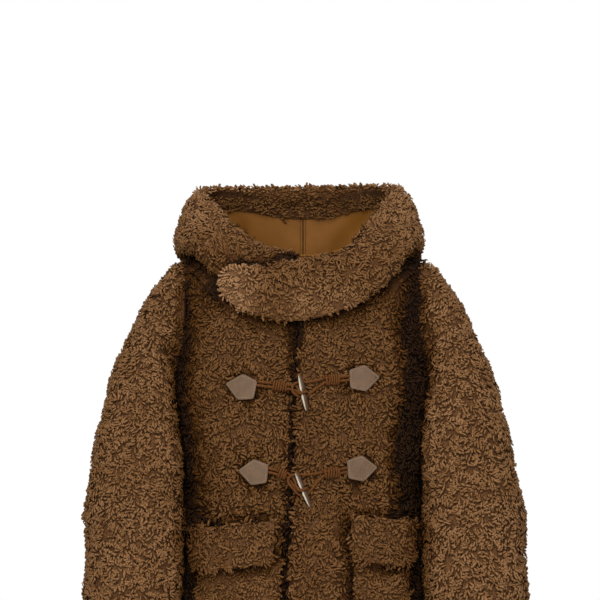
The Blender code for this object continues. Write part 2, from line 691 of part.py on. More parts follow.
def hood_layer(table, stations, side, first, last, depths):
    """Two grids of one layer of the hood: depths(point index, wall) gives how far in they lie."""
    outer, inner = [], []
    for angle in stations:
        rows = hood_section(table, side, angle)[first:last]
        near, far = [], []
        for k, (point, inward, thick) in enumerate(rows):
            a, b = depths(k, thick)
            near.append(hood_point(point + inward * a, angle, side))
            far.append(hood_point(point + inward * b, angle, side))
        outer.append(near)
        inner.append(far)
    return outer, inner


def make_hood_half(half, table, stations, side):
    steps = sum(HOOD_STEPS)
    facing_stations = [a for a in stations if a >= FACING_ENDS_AT or side < 0]

    def hide(k, thick):
        rounding = RIM_ROUNDING[k - steps] if k >= steps else 0.0
        return rounding, thick

    def lined(k, thick):
        return thick + LAYER_GAP, thick + LAYER_GAP + LINING_WALL

    def turned_in(k, thick):
        return thick + LAYER_GAP, thick + LAYER_GAP + FACING_WALL - RIM_ROUNDING[k]

    grids = hood_layer(table, stations, side, 0, None, hide)
    wall(f"hood_{half}", *grids, fur)
    grids = hood_layer(table, facing_stations, side, steps, None, turned_in)
    wall(f"hood_facing_{half}", *grids, fur)
    grids = hood_layer(table, facing_stations, side, LINING_STARTS_AT, steps + 1, lined)
    for grid in grids:
        for row in grid:
            row[-1] = row[-1].lerp(row[-2], 0.04)
    wall(f"hood_lining_{half}", *grids, suede)


# ---------------------------------------------------------------- pieces on the fronts
def front_surface(x, z):
    """Point and normal of the fronts' fur side under a place seen from the front."""
    on_right = x < -column_of(LAP_EDGE, 1, z)
    turn = turn_of_x(-x if on_right else x, z)
    point, normal = body_point(turn, z), body_normal(turn, z)
    if not on_right:
        return point + normal * lap_lift(x), normal
    return Vector((-point.x, point.y, point.z)), Vector((-normal.x, normal.y, normal.z))


def lie_on_front(grid, low, high):
    """Both faces of a piece that lies on the fronts over a grid of (x, z) places."""
    outer, inner = [], []
    for row in grid:
        found = [front_surface(x, z) for x, z in row]
        outer.append([p + n * high for p, n in found])
        inner.append([p + n * low for p, n in found])
    return outer, inner


def make_pocket(side_name, side):
    start, end = POCKET_EDGES[side_name]
    columns, rows = 6, 8
    grid = []
    for i in range(rows + 1):
        z = mix(POCKET_BOTTOM, POCKET_TOP, i / rows)
        corner = FLAP_CORNER * (1 - math.sqrt(1 - max(0.0, 1 - (z - POCKET_BOTTOM) / FLAP_CORNER) ** 2))
        grid.append(
            [(side * mix(start + corner, end - corner, j / columns), z) for j in range(columns + 1)]
        )
    high = ON_FRONT_GAP + POCKET_WALL
    wall(f"pocket_{side_name}", *lie_on_front(grid, ON_FRONT_GAP, high), fur)


def make_flap(side_name, side):
    start, end = FLAP_EDGES[side_name]
    columns = (0.0, 0.05, 0.16, 0.37, 0.58, 0.79, 0.95, 1.0)
    rows = (0.0, 0.25, 0.5, 0.78, 1.0)
    grid = []
    for down in rows:
        row = []
        for u in columns:
            top = column_of(FLAP_HEIGHTS[side_name], 1, u)
            bottom = column_of(FLAP_HEIGHTS[side_name], 2, u)
            x = mix(start, end, u)
            near = min(x - start, end - x, FLAP_CORNER)
            corner = FLAP_CORNER - math.sqrt(FLAP_CORNER**2 - (FLAP_CORNER - near) ** 2)
            row.append((side * x, mix(top, bottom + corner, down)))
        grid.append(row)
    low = POCKET_WALL + 2 * ON_FRONT_GAP
    wall(f"pocket_flap_{side_name}", *lie_on_front(grid, low, low + FLAP_WALL), fur)


def rounded_outline(corners, radius, steps=2):
    """The outline with each corner cut to a short curve."""
    outline = []
    for k, corner in enumerate(corners):
        here = Vector(corner)
        before = (Vector(corners[k - 1]) - here).normalized() * radius
        after = (Vector(corners[(k + 1) % len(corners)]) - here).normalized() * radius
        for step in range(steps + 1):
            t = step / steps
            outline.append(here + before * (1 - t) ** 2 + after * t**2)
    return outline


def make_patch(name, place):
    """A leather patch bent to the front: rings of its outline drawn towards its middle."""
    x, z, tilt = place
    points_out = -1 if x < 0 else 1
    turn = math.radians(tilt)
    ring = rounded_outline(PATCH_OUTLINE, PATCH_CORNER)
    shell = bmesh.new()
    layers = []
    for depth in (ON_FRONT_GAP, ON_FRONT_GAP + PATCH_WALL):
        rings = []
        for share in (1.0, 0.5):
            row = []
            for p in ring:
                across, up = p.x * share * points_out, p.y * share
                u = across * math.cos(turn) - up * math.sin(turn)
                v = across * math.sin(turn) + up * math.cos(turn)
                point, normal = front_surface(x + u, z + v)
                row.append(shell.verts.new(point + normal * depth))
            rings.append(row)
        point, normal = front_surface(x, z)
        layers.append((rings, shell.verts.new(point + normal * depth)))
    count = len(ring)
    for rings, centre in layers:
        for j in range(count):
            k = (j + 1) % count
            shell.faces.new((rings[0][j], rings[0][k], rings[1][k], rings[1][j]))
            shell.faces.new((rings[1][j], rings[1][k], centre))
    for j in range(count):
        k = (j + 1) % count
        low, high = layers[0][0][0], layers[1][0][0]
        shell.faces.new((low[j], low[k], high[k], high[j]))
    finish_mesh(name, shell, leather)


def over_lap(x, z, height):
    """A place at a height over the left front's fur side, carried on past its edge."""
    turn = turn_of_x(x, z)
    return body_point(turn, z) + body_normal(turn, z) * (lap_lift(x) + height)


def make_toggle(name, place):
    """A turned horn toggle with a waist, bent a little along its length."""
    x, z, tilt = place
    profile = bmesh.new()
    last = None
    for share, radius in TOGGLE_PROFILE:
        vert = profile.verts.new((radius, 0, -share * TOGGLE_LENGTH))
        if last:
            profile.edges.new((last, vert))
        last = vert
    mesh = bpy.data.meshes.new(name)
    profile.to_mesh(mesh)
    profile.free()
    mesh.materials.append(horn)
    toggle = bpy.data.objects.new(name, mesh)
    jacket.objects.link(toggle)
    turned = toggle.modifiers.new("turned", "SCREW")
    turned.axis = "Z"
    turned.angle = 2 * math.pi
    turned.steps = turned.render_steps = 12
    turned.use_merge_vertices = True
    turned.merge_threshold = 1e-6
    evaluated = toggle.evaluated_get(bpy.context.evaluated_depsgraph_get())
    solid = bpy.data.meshes.new_from_object(evaluated)
    toggle.modifiers.clear()
    toggle.data = solid
    for vert in solid.vertices:
        vert.co.y += TOGGLE_BEND * (2 * vert.co.z / TOGGLE_LENGTH) ** 2
    toggle.location = over_lap(x, z, TOGGLE_STANDS_OFF)
    toggle.rotation_euler = (-math.asin(body_normal(0.0, z).z), -math.radians(tilt), 0)
    solid.shade_smooth()


def make_cord(name, route):
    """A cord: a curve with a round section and closed ends."""
    curve = bpy.data.curves.new(name, "CURVE")
    curve.dimensions = "3D"
    curve.bevel_depth = CORD_RADIUS
    curve.bevel_resolution = 1
    curve.use_fill_caps = True
    places = smooth_route(route, CORD_POINT_SPACING)
    line = curve.splines.new("POLY")
    line.points.add(len(places) - 1)
    for point, place in zip(line.points, places):
        point.co = (*place, 1.0)
    curve.materials.append(rust_cord)
    jacket.objects.link(bpy.data.objects.new(name, curve))


def whipping_line(name, share, off):
    """A place in a whipping: share along it, off its middle line across the strands."""
    start_x, start_z, end_x, end_z, height = WHIPPINGS[name]
    run = Vector((end_x - start_x, end_z - start_z)).normalized()
    x = mix(start_x, end_x, share) - run.y * off
    z = mix(start_z, end_z, share) + run.x * off
    return over_lap(x, z, height)


def waist_wrap(place):
    """The turn round a toggle's waist, from its left over the front to behind it."""
    x, z, tilt = place
    across = (math.cos(math.radians(tilt)), math.sin(math.radians(tilt)))
    turns = []
    for angle in (160, 115, 70, 20, -25, -70, -115):
        out = WAIST_WRAP * math.cos(math.radians(angle))
        height = TOGGLE_STANDS_OFF + WAIST_WRAP * math.sin(math.radians(angle))
        turns.append(over_lap(x + out * across[0], z + out * across[1], height))
    return turns


def make_fastening_cord(name):
    """One doubled cord: in through its whipping, round the toggle or as the loop, and back."""
    to_whipping, to_turn, from_turn, to_patch = CORD_ROUTES[name]
    shares = (0.02, 0.5, 0.98)
    if name.endswith("loop"):
        shares = shares[::-1]
    upper = [whipping_line(name, share, STRAND_SPACING / 2) for share in shares]
    lower = [whipping_line(name, share, -STRAND_SPACING / 2) for share in shares[::-1]]
    level = name.split("_")[0]
    turn = [] if name.endswith("loop") else waist_wrap(TOGGLES[f"toggle_{level}"])
    route = [over_lap(*place) for place in to_whipping]
    route += upper + [over_lap(*place) for place in to_turn] + turn
    route += [over_lap(*place) for place in from_turn] + lower
    route += [over_lap(*place) for place in to_patch]
    make_cord(f"cord_{name}", route)


def make_whipping(name):
    """A ribbed sleeve of cord turns round both strands."""
    rings, sides = 2 * WHIPPING_TURNS, 8
    angles = [2 * math.pi * step / sides for step in range(sides)]
    outer, inner = [], []
    for k in range(rings + 1):
        share = k / rings
        middle = whipping_line(name, share, 0.0)
        across = (whipping_line(name, share, 0.001) - whipping_line(name, share, -0.001)).normalized()
        along = (whipping_line(name, share + 0.01, 0.0) - middle).normalized()
        outwards = along.cross(across).normalized()
        groove = WHIPPING_GROOVE if k % 2 == 0 else 0.0
        for rows, (wide, deep), cut in ((outer, WHIPPING_HALF_SIZE, groove), (inner, WHIPPING_HOLE, 0.0)):
            right, out = across * (wide - cut), outwards * (deep - cut)
            rows.append([middle + right * math.cos(a) + out * math.sin(a) for a in angles])
    wall(f"whipping_{name}", outer, inner, rust_cord, ring=True)


def smooth_route(places, spacing):
    """Points at an even spacing on a smooth curve through the places."""
    padded = [2 * places[0] - places[1], *places, 2 * places[-1] - places[-2]]
    fine = []
    for a, b, c, d in zip(padded, padded[1:], padded[2:], padded[3:]):
        for k in range(12):
            t = k / 12
            fine.append(
                0.5
                * (
                    2 * b
                    + (c - a) * t
                    + (2 * a - 5 * b + 4 * c - d) * t**2
                    + (3 * b - a - 3 * c + d) * t**3
                )
            )
    fine.append(places[-1])
    total = sum((b - a).length for a, b in zip(fine, fine[1:]))
    count = max(2, round(total / spacing))
    route, walked, k = [fine[0]], 0.0, 0
    for step in range(1, count):
        goal = total * step / count
        while walked + (fine[k + 1] - fine[k]).length < goal:
            walked += (fine[k + 1] - fine[k]).length
            k += 1
        share = (goal - walked) / (fine[k + 1] - fine[k]).length
        route.append(fine[k].lerp(fine[k + 1], share))
    route.append(fine[-1])
    return route


# ---------------------------------------------------------------- finishes and assembly
for thing in list(bpy.data.objects):
    bpy.data.objects.remove(thing)

jacket = bpy.data.collections.new("shearling_hooded_jacket")
bpy.context.scene.collection.children.link(jacket)

fur = material("curly_brown_fur", (0.17, 0.085, 0.032), 0.95)
suede = material("ochre_suede", (0.24, 0.11, 0.024), 0.9)
leather = material("taupe_leather", (0.19, 0.125, 0.078), 0.55)
horn = material("pale_and_dark_horn", (0.30, 0.24, 0.17), 0.3)
rust_cord = material("rust_cord", (0.18, 0.055, 0.008), 0.85)

make_fronts()
make_back()
make_sleeve("sleeve_right", -1)
make_sleeve("sleeve_left", 1)
make_hood_half("right", HOOD_RIGHT, HOOD_STATIONS_RIGHT, -1)
make_hood_half("left", HOOD_LEFT, HOOD_STATIONS_LEFT, 1)
for pocket_side, pocket_sign in (("right", -1), ("left", 1)):
    make_pocket(pocket_side, pocket_sign)
    make_flap(pocket_side, pocket_sign)
for patch_name, patch_place in PATCHES.items():
    make_patch(patch_name, patch_place)
for toggle_name, toggle_place in TOGGLES.items():
    make_toggle(toggle_name, toggle_place)
for fastening in CORD_ROUTES:
    make_fastening_cord(fastening)
    make_whipping(fastening)
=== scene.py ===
"""Looks of a shearling hooded jacket: curly brown fur over suede, leather patches, horn toggles.

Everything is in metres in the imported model's frame: +Z up, the front faces -Y, the wearer's left
is +X and the origin is the neck base. Each fur panel is a thin hide shell on its solid's form with
thousands of curled locks standing in it, and their tips reach the solid's outer face.
"""

import math

import bmesh
import bpy
import numpy as np
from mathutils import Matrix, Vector, noise
from mathutils.bvhtree import BVHTree


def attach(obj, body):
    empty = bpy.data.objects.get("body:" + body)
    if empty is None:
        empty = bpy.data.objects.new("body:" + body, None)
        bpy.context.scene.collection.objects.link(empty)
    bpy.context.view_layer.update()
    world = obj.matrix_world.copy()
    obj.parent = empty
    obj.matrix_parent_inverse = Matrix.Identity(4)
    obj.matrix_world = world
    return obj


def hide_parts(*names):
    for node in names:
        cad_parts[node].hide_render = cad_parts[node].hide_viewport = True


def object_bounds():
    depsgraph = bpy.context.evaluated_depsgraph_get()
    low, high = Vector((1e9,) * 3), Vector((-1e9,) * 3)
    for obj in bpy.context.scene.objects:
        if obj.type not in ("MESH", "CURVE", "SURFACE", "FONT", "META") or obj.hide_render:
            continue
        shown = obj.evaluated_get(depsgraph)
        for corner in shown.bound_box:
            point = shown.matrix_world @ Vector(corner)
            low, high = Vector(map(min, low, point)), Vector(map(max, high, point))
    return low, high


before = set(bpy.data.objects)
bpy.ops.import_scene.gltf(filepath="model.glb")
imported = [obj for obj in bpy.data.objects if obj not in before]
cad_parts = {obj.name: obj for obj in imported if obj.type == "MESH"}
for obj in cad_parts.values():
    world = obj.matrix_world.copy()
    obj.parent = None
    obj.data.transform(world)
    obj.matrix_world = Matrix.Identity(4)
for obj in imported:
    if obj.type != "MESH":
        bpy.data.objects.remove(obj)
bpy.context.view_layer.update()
scene = bpy.context.scene
rng = np.random.default_rng(7)

# ---- the photo's view
METRES_PER_PIXEL = 0.0016  # from the toggles, which are 60 mm long
PHOTO_PIXELS = 600
NECK_BASE_PIXEL = (303, 237)
CAMERA_DISTANCE = 20.0
FRONT_PLANE_Y = -0.12
SENSOR = 0.036

# ---- fur
MERGE = 2e-6
UNDERCOAT_DEPTH = 0.0048  # from the tips' level to where the locks close up
UNDERCOAT_SHARE = 0.42  # of a thinner wall's depth
ROOT_DEPTH = 0.0056
COVERED_WITHIN = 0.007  # fur with something this near above it is left out
WALL_AT_MOST = 0.0135
LOCK_LENGTH = 0.0118
LOCK_HALF_WIDTH = 0.0022
LOCK_HEIGHT = 0.0060
LENGTH_SPREAD = (0.75, 1.25)
HEIGHT_SPREAD = (0.85, 1.2)
WIDTH_SPREAD = (0.8, 1.2)
STATIONS = (0.0, 0.34, 0.80, 1.0)  # along a lock, from its root to its tip
RING_WIDTHS = (0.95, 0.90)
RIDGE_HEIGHT = 0.68  # of a lock's section, in half widths
STANDING_SHARE = 0.06  # of the locks, which stand up more and break the outline
STANDING_LENGTH = 0.75
STANDING_HEIGHT = 1.1
RISE_RATE = 1.35  # of a lock along its length, in quarter turns of a sine, up to the next number
RISE_END = 1.15
TUFT_SIZE = 0.013
TUFT_SHIFT = 0.37
COMB_SCALE = 42.0
COMB_SWIRL = 2.4
FINE_COMB_SCALE = 95.0
FINE_COMB_SWIRL = 0.9
COMB_SPREAD = 0.16
CURL_SCALE = 60.0
CURL_TURN = 2.4  # of a lock from its root to its tip, in radians
CURL_SPREAD = 0.3
LEAST_CURL = 0.2
LUMP_SCALE = 80.0  # of the tufts that stand out of the pile
LUMP_HEIGHT = 0.0040
LUMP_RANGE = (-0.4, 0.5)
# painted light on the tufts that stand out, and painted shade between them
LUMP_SHADE = 0.060
SHADE_SCALE = 26.0
SHADE_SWELL = 0.05
SHADE_SPREAD = 0.014
SHADE_HEIGHT = 1 / 400  # of a lock's strip in the pile map, to either side
MAP_RANGE = (0.03, 0.97)  # of the pile map that is in use
HOOD_AXIS_Y = 0.005
NECK_HALF_WIDTH = 0.0905
NECK_TO_BACK = 0.0845
NECK_TO_FRONT = 0.110
NECK_REACH = 1.10  # the neckline's edge carries no pile within this many times its size
NECK_LOWEST = -0.125
NECK_FRONT_LOWEST = -0.040
HOOD_NECK_REACH = NECK_REACH + 0.22  # and the hood's lower edge within this
HOOD_NECK_FRONT = -0.04
HOOD_NECK_TOP = 0.022


def ease(values, start, end):
    """From 0 at the start to 1 at the end, smoothly."""
    t = np.clip((values - start) / (end - start), 0, 1)
    return t * t * (3 - 2 * t)


# The soft form's own moves, in metres
BACK_RIM_UP = 0.005
ARMS_OUT = 0.007
ROLL_DOWN = 0.009  # the hood's roll on both sides of the throat
RIM_OUT = (0.013, 0.006)  # the hood's front rim, right and left
BACK_BAND_UP = 0.014
NECK_DOWN = 0.024  # the neck edge at the back, under the hood
SLEEVES_IN = 0.0055
LEFT_SLEEVE_IN = 0.008
GAP_CLOSED = 0.0125  # the slit of daylight between body and sleeve, which is drawn shut
GAP_CORE = 0.0132
GAP_REACH = 0.055
GAP_HEIGHTS = (-0.360, -0.320)
GAP_MIDDLES = (0.1965, 0.2055)
# How far out the sleeves' outer edges go: height, right sleeve, left sleeve (millimetres out)
SLEEVE_SHIFTS = (
    (-0.600, -6, 2), (-0.557, -9, 1), (-0.509, -4, 5), (-0.461, -7, 0), (-0.413, 0, 4),
    (-0.365, 5, 4), (-0.317, 3, 2), (-0.269, 10, 10), (-0.221, 3, 1), (-0.173, 7, 2),
    (-0.157, 6, 4), (-0.141, 3, 4), (-0.125, 1, 1), (-0.109, 3, 4), (-0.093, 7, 3),
    (-0.077, 4, 4), (-0.060, 0, 0),
)
SLEEVE_OUTLINE = ((-0.557, 0.350), (-0.413, 0.347), (-0.269, 0.323), (-0.173, 0.291), (-0.077, 0.238))


def bell(off, half):
    """From 1 in the middle down to 0 some half widths off."""
    return np.exp(-((off / half) ** 2))


def relaxed(points, node):
    """The soft form's own set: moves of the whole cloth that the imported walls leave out."""
    x, y, z = points.T
    wide, side = np.abs(x), np.sign(x)
    moved = points.copy()
    moved[:, 2] += BACK_RIM_UP * ease(z, 0.02, 0.07) * ease(y, 0.08, 0.13)
    arm = ease(wide, 0.20, 0.27) * ease(z, -0.30, -0.22) * ease(z, -0.035, -0.11)
    moved[:, 0] += side * ARMS_OUT * arm
    roll = ease(wide, 0.02, 0.06) * ease(wide, 0.14, 0.10) * ease(z, -0.07, -0.01) * ease(y, 0.05, 0.0)
    moved[:, 2] -= ROLL_DOWN * roll
    rim = ease(wide, 0.06, 0.10) * ease(wide, 0.185, 0.13) * ease(z, -0.005, 0.04) * ease(y, -0.16, -0.11)
    moved[:, 0] += side * np.where(x > 0, RIM_OUT[1], RIM_OUT[0]) * rim
    band = ease(wide, 0.02, 0.11) * ease(z, -0.03, 0.02) * ease(z, 0.078, 0.045) * ease(y, 0.0, 0.05)
    moved[:, 2] += BACK_BAND_UP * band
    neck = ease(z, -0.10, -0.02) * ease(z, 0.03, 0.015) * ease(y, -0.02, 0.03) * ease(y, 0.155, 0.125)
    moved[:, 2] -= NECK_DOWN * neck * ease(wide, 0.125, 0.095)
    off = wide - np.interp(z, GAP_HEIGHTS, GAP_MIDDLES)
    level = ease(z, -0.410, -0.355) * ease(z, -0.195, -0.240)
    shut = np.tanh(off / GAP_CORE) * bell(off, GAP_REACH)
    moved[:, 0] -= side * GAP_CLOSED * shut * level
    if node.startswith("sleeve"):
        moved[:, 0] -= side * SLEEVES_IN * level * ease(wide, 0.27, 0.22)
    if node == "sleeve_left":
        inner = ease(z, -0.42, -0.28) * ease(z, -0.10, -0.16) * ease(x, 0.275, 0.225)
        moved[:, 0] -= LEFT_SLEEVE_IN * inner
    heights, right, left = np.array(SLEEVE_SHIFTS).T
    outwards = np.where(x < 0, np.interp(z, heights, right), np.interp(z, heights, left)) / 1000
    brim = np.interp(z, *np.array(SLEEVE_OUTLINE).T)
    moved[:, 0] += side * outwards * ease(wide, brim - 0.07, brim - 0.01)
    return moved


def merged_copy(node):
    """A solid's mesh as a bmesh, its loose triangles merged and its cloth relaxed."""
    work = bmesh.new()
    work.from_mesh(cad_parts[node].data)
    bmesh.ops.remove_doubles(work, verts=work.verts, dist=MERGE)
    bmesh.ops.triangulate(work, faces=work.faces)
    if not node.startswith(("patch", "toggle")):
        placed = relaxed(np.array([v.co for v in work.verts]), node)
        for vert, place in zip(work.verts, placed):
            vert.co = place
    work.verts.ensure_lookup_table()
    work.faces.ensure_lookup_table()
    work.normal_update()
    return work


def arrays_of(work):
    """Points and triangles of a bmesh."""
    points = np.array([v.co for v in work.verts])
    faces = np.array([[v.index for v in f.verts] for f in work.faces])
    return points, faces


def face_facts(points, faces):
    """Centres, unit normals and areas of triangles."""
    a, b, c = (points[faces[:, k]] for k in range(3))
    cross = np.cross(b - a, c - a)
    size = np.linalg.norm(cross, axis=1)
    return (a + b + c) / 3, cross / np.maximum(size, 1e-12)[:, None], size / 2


def slice_means(keys, values, width):
    """The mean of values in slices of their keys, interpolated back to any key."""
    low, high = keys.min(), keys.max()
    middles = np.arange(low, high + width, width)
    means = []
    for middle in middles:
        near = np.abs(keys - middle) < width
        means.append(values[near].mean(axis=0) if near.any() else means[-1])
    means = np.array(means)
    columns = range(means.shape[1])
    return lambda at: np.stack([np.interp(at, middles, means[:, k]) for k in columns], axis=1)


def wall_middle(kind, points, at):
    """For places on a wall, a place well on its hide side."""
    if kind == "body":
        return at * np.array([0.0, 0.0, 1.0])
    if kind == "sleeve":
        middle = slice_means(points[:, 2], points[:, :2], 0.02)
        return np.concatenate([middle(at[:, 2]), at[:, 2:]], axis=1)
    side = 1.0 if kind == "hood_left" else -1.0

    def section(p):
        angle = np.degrees(np.arctan2(side * p[:, 0], HOOD_AXIS_Y - p[:, 1]))
        angle = np.where(angle < -100, angle + 360, angle)
        return angle, np.hypot(p[:, 0], HOOD_AXIS_Y - p[:, 1])

    angle, radius = section(points)
    middle = slice_means(angle, np.stack([radius, points[:, 2]], axis=1), 6.0)
    angle, _ = section(at)
    flat = middle(angle)
    reach = flat[:, 0] - 0.03 * (angle < 2)
    turn = np.radians(angle)
    return np.stack([side * reach * np.sin(turn), HOOD_AXIS_Y - reach * np.cos(turn), flat[:, 1]], 1)


def fur_share(kind, points, centres, normals):
    """How much each face looks away from the hide side, from -1 to 1."""
    if kind == "all":
        return np.ones(len(centres))
    away = centres - wall_middle(kind, points, centres)
    away /= np.maximum(np.linalg.norm(away, axis=1), 1e-9)[:, None]
    return (away * normals).sum(axis=1)


def point_normals(points, faces, normals, areas, chosen):
    """Normals at the points, from the chosen faces alone."""
    total = np.zeros_like(points)
    for k in range(3):
        np.add.at(total, faces[chosen, k], normals[chosen] * areas[chosen, None])
    length = np.linalg.norm(total, axis=1)
    return total / np.maximum(length, 1e-12)[:, None], length > 1e-12


def mesh_piece(name, points, faces, finishes, uv=None, slots=None):
    """An object of triangles, at the origin and smooth, that rides on the jacket."""
    mesh = bpy.data.meshes.new(name)
    mesh.vertices.add(len(points))
    mesh.vertices.foreach_set("co", np.asarray(points, np.float32).ravel())
    mesh.loops.add(faces.size)
    mesh.loops.foreach_set("vertex_index", faces.astype(np.int32).ravel())
    mesh.polygons.add(len(faces))
    mesh.polygons.foreach_set("loop_start", np.arange(len(faces), dtype=np.int32) * 3)
    for finish in finishes:
        mesh.materials.append(finish)
    if slots is not None:
        mesh.polygons.foreach_set("material_index", slots.astype(np.int32))
    mesh.update(calc_edges=True)
    mesh.validate()
    if uv is not None:
        for layer in ("pile", "OFBake"):
            made = mesh.uv_layers.new(name=layer)
            made.uv.foreach_set("vector", uv[faces.ravel()].astype(np.float32).ravel())
    mesh.shade_smooth()
    made = bpy.data.objects.new(name, mesh)
    scene.collection.objects.link(made)
    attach(made, "root")
    return made


# ---- what fur may not grow into
COVERING = [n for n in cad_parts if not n.startswith(("cord", "whipping", "toggle"))]


def joined(parts):
    """Several meshes as one: their points, and their faces renumbered."""
    points, faces, start = [], [], 0
    for some, others in parts:
        points.append(some)
        faces.append(others + start)
        start += len(some)
    return np.vstack(points), np.vstack(faces)


def covering_tree():
    """One search tree of every solid that can cover fur."""
    parts = []
    for node in COVERING:
        work = merged_copy(node)
        parts.append(arrays_of(work))
        work.free()
    points, faces = joined(parts)
    return BVHTree.FromPolygons(points.tolist(), faces.tolist())


covers = covering_tree()


def uncovered(at, normals):
    """Which places have nothing close above them."""
    clear = []
    for place, normal in zip(at, normals):
        way = Vector(normal)
        hit = covers.ray_cast(Vector(place) + way * 0.0001, way, COVERED_WITHIN)
        clear.append(hit[0] is None)
    return np.array(clear)


STEPS = (0, -1, 1)
NEIGHBOURS = [(i, j, m) for i in STEPS for j in STEPS for m in STEPS]


def noise_at(places, scale, seed):
    """A smooth random value from -1 to 1 at each place."""
    shift = Vector((seed * 7.3, seed * 3.1, seed * 5.7))
    return np.array([noise.noise(Vector(p) * scale + shift) for p in places])


def scattered(points, faces, areas, chosen, spacing):
    """Places no nearer than the spacing, over the chosen faces: face numbers and corner shares."""
    picked = np.flatnonzero(chosen)
    weights = areas[picked] / areas[picked].sum()
    tries = int(areas[picked].sum() / spacing**2 * 3.2)
    face = picked[rng.choice(len(picked), size=tries, p=weights)]
    first, second = rng.random(tries), rng.random(tries)
    root = np.sqrt(first)
    shares = np.stack([1 - root, root * (1 - second), root * second], axis=1)
    at = (points[faces[face]] * shares[:, :, None]).sum(axis=1)
    taken, keep = {}, []
    cells = np.floor(at / spacing).astype(np.int64).tolist()
    for k, ((i, j, m), (x, y, z)) in enumerate(zip(cells, at.tolist())):
        free = True
        for di, dj, dm in NEIGHBOURS:
            other = taken.get((i + di, j + dj, m + dm))
            if other and (x - other[0]) ** 2 + (y - other[1]) ** 2 + (z - other[2]) ** 2 < spacing**2:
                free = False
                break
        if free:
            taken[i, j, m] = (x, y, z)
            keep.append(k)
    return face[keep], shares[keep], at[keep]


def unit(vectors):
    """Vectors at a length of 1."""
    return vectors / np.maximum(np.linalg.norm(vectors, axis=-1), 1e-9)[..., None]


def comb_of(at, normals, lean):
    """The way each lock lies: swirls, drawn together into tufts, with some lean of the whole."""
    swirl = np.stack([noise_at(at, COMB_SCALE, seed) for seed in (1, 2, 3)], axis=1) * COMB_SWIRL
    swirl += np.stack([noise_at(at, FINE_COMB_SCALE, seed) for seed in (5, 6, 7)], axis=1) * FINE_COMB_SWIRL
    cells = np.floor(at / TUFT_SIZE + TUFT_SHIFT).astype(np.int64)
    _, tuft = np.unique(cells, axis=0, return_inverse=True)
    tuft = tuft.ravel()
    count = np.bincount(tuft)
    middle = np.stack([np.bincount(tuft, at[:, k]) / count for k in range(3)], axis=1)[tuft]
    way = swirl + (middle - at) / TUFT_SIZE + lean + rng.normal(0, COMB_SPREAD, at.shape)
    way -= normals * (way * normals).sum(axis=1)[:, None]
    return unit(way)


def locks(name, at, normals, comb, shade):
    """Curling locks as one mesh: each starts in a point, has two ridged rings, and ends in a tip."""
    count = len(at)
    across = np.cross(normals, comb)
    standing = rng.random(count) < STANDING_SHARE
    length = LOCK_LENGTH * rng.uniform(*LENGTH_SPREAD, count) * np.where(standing, STANDING_LENGTH, 1.0)
    height = LOCK_HEIGHT * rng.uniform(*HEIGHT_SPREAD, count) * np.where(standing, STANDING_HEIGHT, 1.0)
    width = LOCK_HALF_WIDTH * rng.uniform(*WIDTH_SPREAD, count)
    curl = CURL_TURN * np.tanh(5 * noise_at(at, CURL_SCALE, 13)) + rng.normal(0, CURL_SPREAD, count)
    curl = np.where(np.abs(curl) < LEAST_CURL, LEAST_CURL, curl)
    shares = np.array(STATIONS)
    turn = curl[:, None] * shares
    ahead = length[:, None] * np.sin(turn) / curl[:, None]
    aside = length[:, None] * (1 - np.cos(turn)) / curl[:, None]
    rise = height[:, None] * np.sin(np.minimum(shares * RISE_RATE, RISE_END) * math.pi / 2)
    line = (
        at[:, None]
        + comb[:, None] * ahead[..., None]
        + across[:, None] * aside[..., None]
        + normals[:, None] * rise[..., None]
    )
    along = unit(np.gradient(line, axis=1))
    side = unit(np.cross(normals[:, None], along))
    up = np.cross(along, side)
    points = np.zeros((count, 8, 3))
    uv = np.zeros((count, 8, 2))
    points[:, 0], points[:, 7] = line[:, 0], line[:, 3]
    uv[:, :, 1] = shade[:, None]
    uv[:, 0, 0], uv[:, 7, 0] = MAP_RANGE
    for ring in (1, 2):
        half = (width * RING_WIDTHS[ring - 1])[:, None]
        first = 3 * ring - 2
        points[:, first] = line[:, ring] - side[:, ring] * half
        points[:, first + 1] = line[:, ring] + up[:, ring] * half * RIDGE_HEIGHT
        points[:, first + 2] = line[:, ring] + side[:, ring] * half
        uv[:, first : first + 3, 0] = np.interp(STATIONS[ring], (0, 1), MAP_RANGE)
        uv[:, first : first + 3, 1] += np.array([-1, 0, 1]) * SHADE_HEIGHT
    faces = []
    for a, b in ((1, 2), (2, 3), (3, 1)):
        faces += [(0, a, b), (a, a + 3, b + 3), (a, b + 3, b), (a + 3, 7, b + 3)]
    whole = (np.array(faces)[None] + (np.arange(count) * 8)[:, None, None]).reshape(-1, 3)
    return mesh_piece(name, points.reshape(-1, 3), whole, [fur], uv.reshape(-1, 2))


def at_neckline(kind, places):
    """Which places are on the neckline's edge, where the hood is sewn on."""
    deep = np.where(places[:, 1] > 0, NECK_TO_BACK, NECK_TO_FRONT)
    reach = np.hypot(places[:, 0] / NECK_HALF_WIDTH, places[:, 1] / deep)
    if kind.startswith("hood"):
        behind = (places[:, 1] > HOOD_NECK_FRONT) & (places[:, 2] < HOOD_NECK_TOP)
        return (reach < HOOD_NECK_REACH) & behind
    near = (reach < NECK_REACH) & (places[:, 2] > NECK_LOWEST)
    return near & (kind == "body") & ((places[:, 1] > 0) | (places[:, 2] > NECK_FRONT_LOWEST))


# Rays that look for the painted shade: lean off the normal two ways, reach in metres, weight
SHADE_RAYS = [(0.0, 0.0, 0.075, 0.10)]
SHADE_RAYS += [(a, b, 0.075, 0.10) for a, b in ((1.3, 0.0), (-1.3, 0.0), (0.0, 1.3), (0.0, -1.3))]
SHADE_RAYS += [(a, b, 0.022, 0.13) for b in (2.6, -2.6) for a in (2.6, -2.6)]


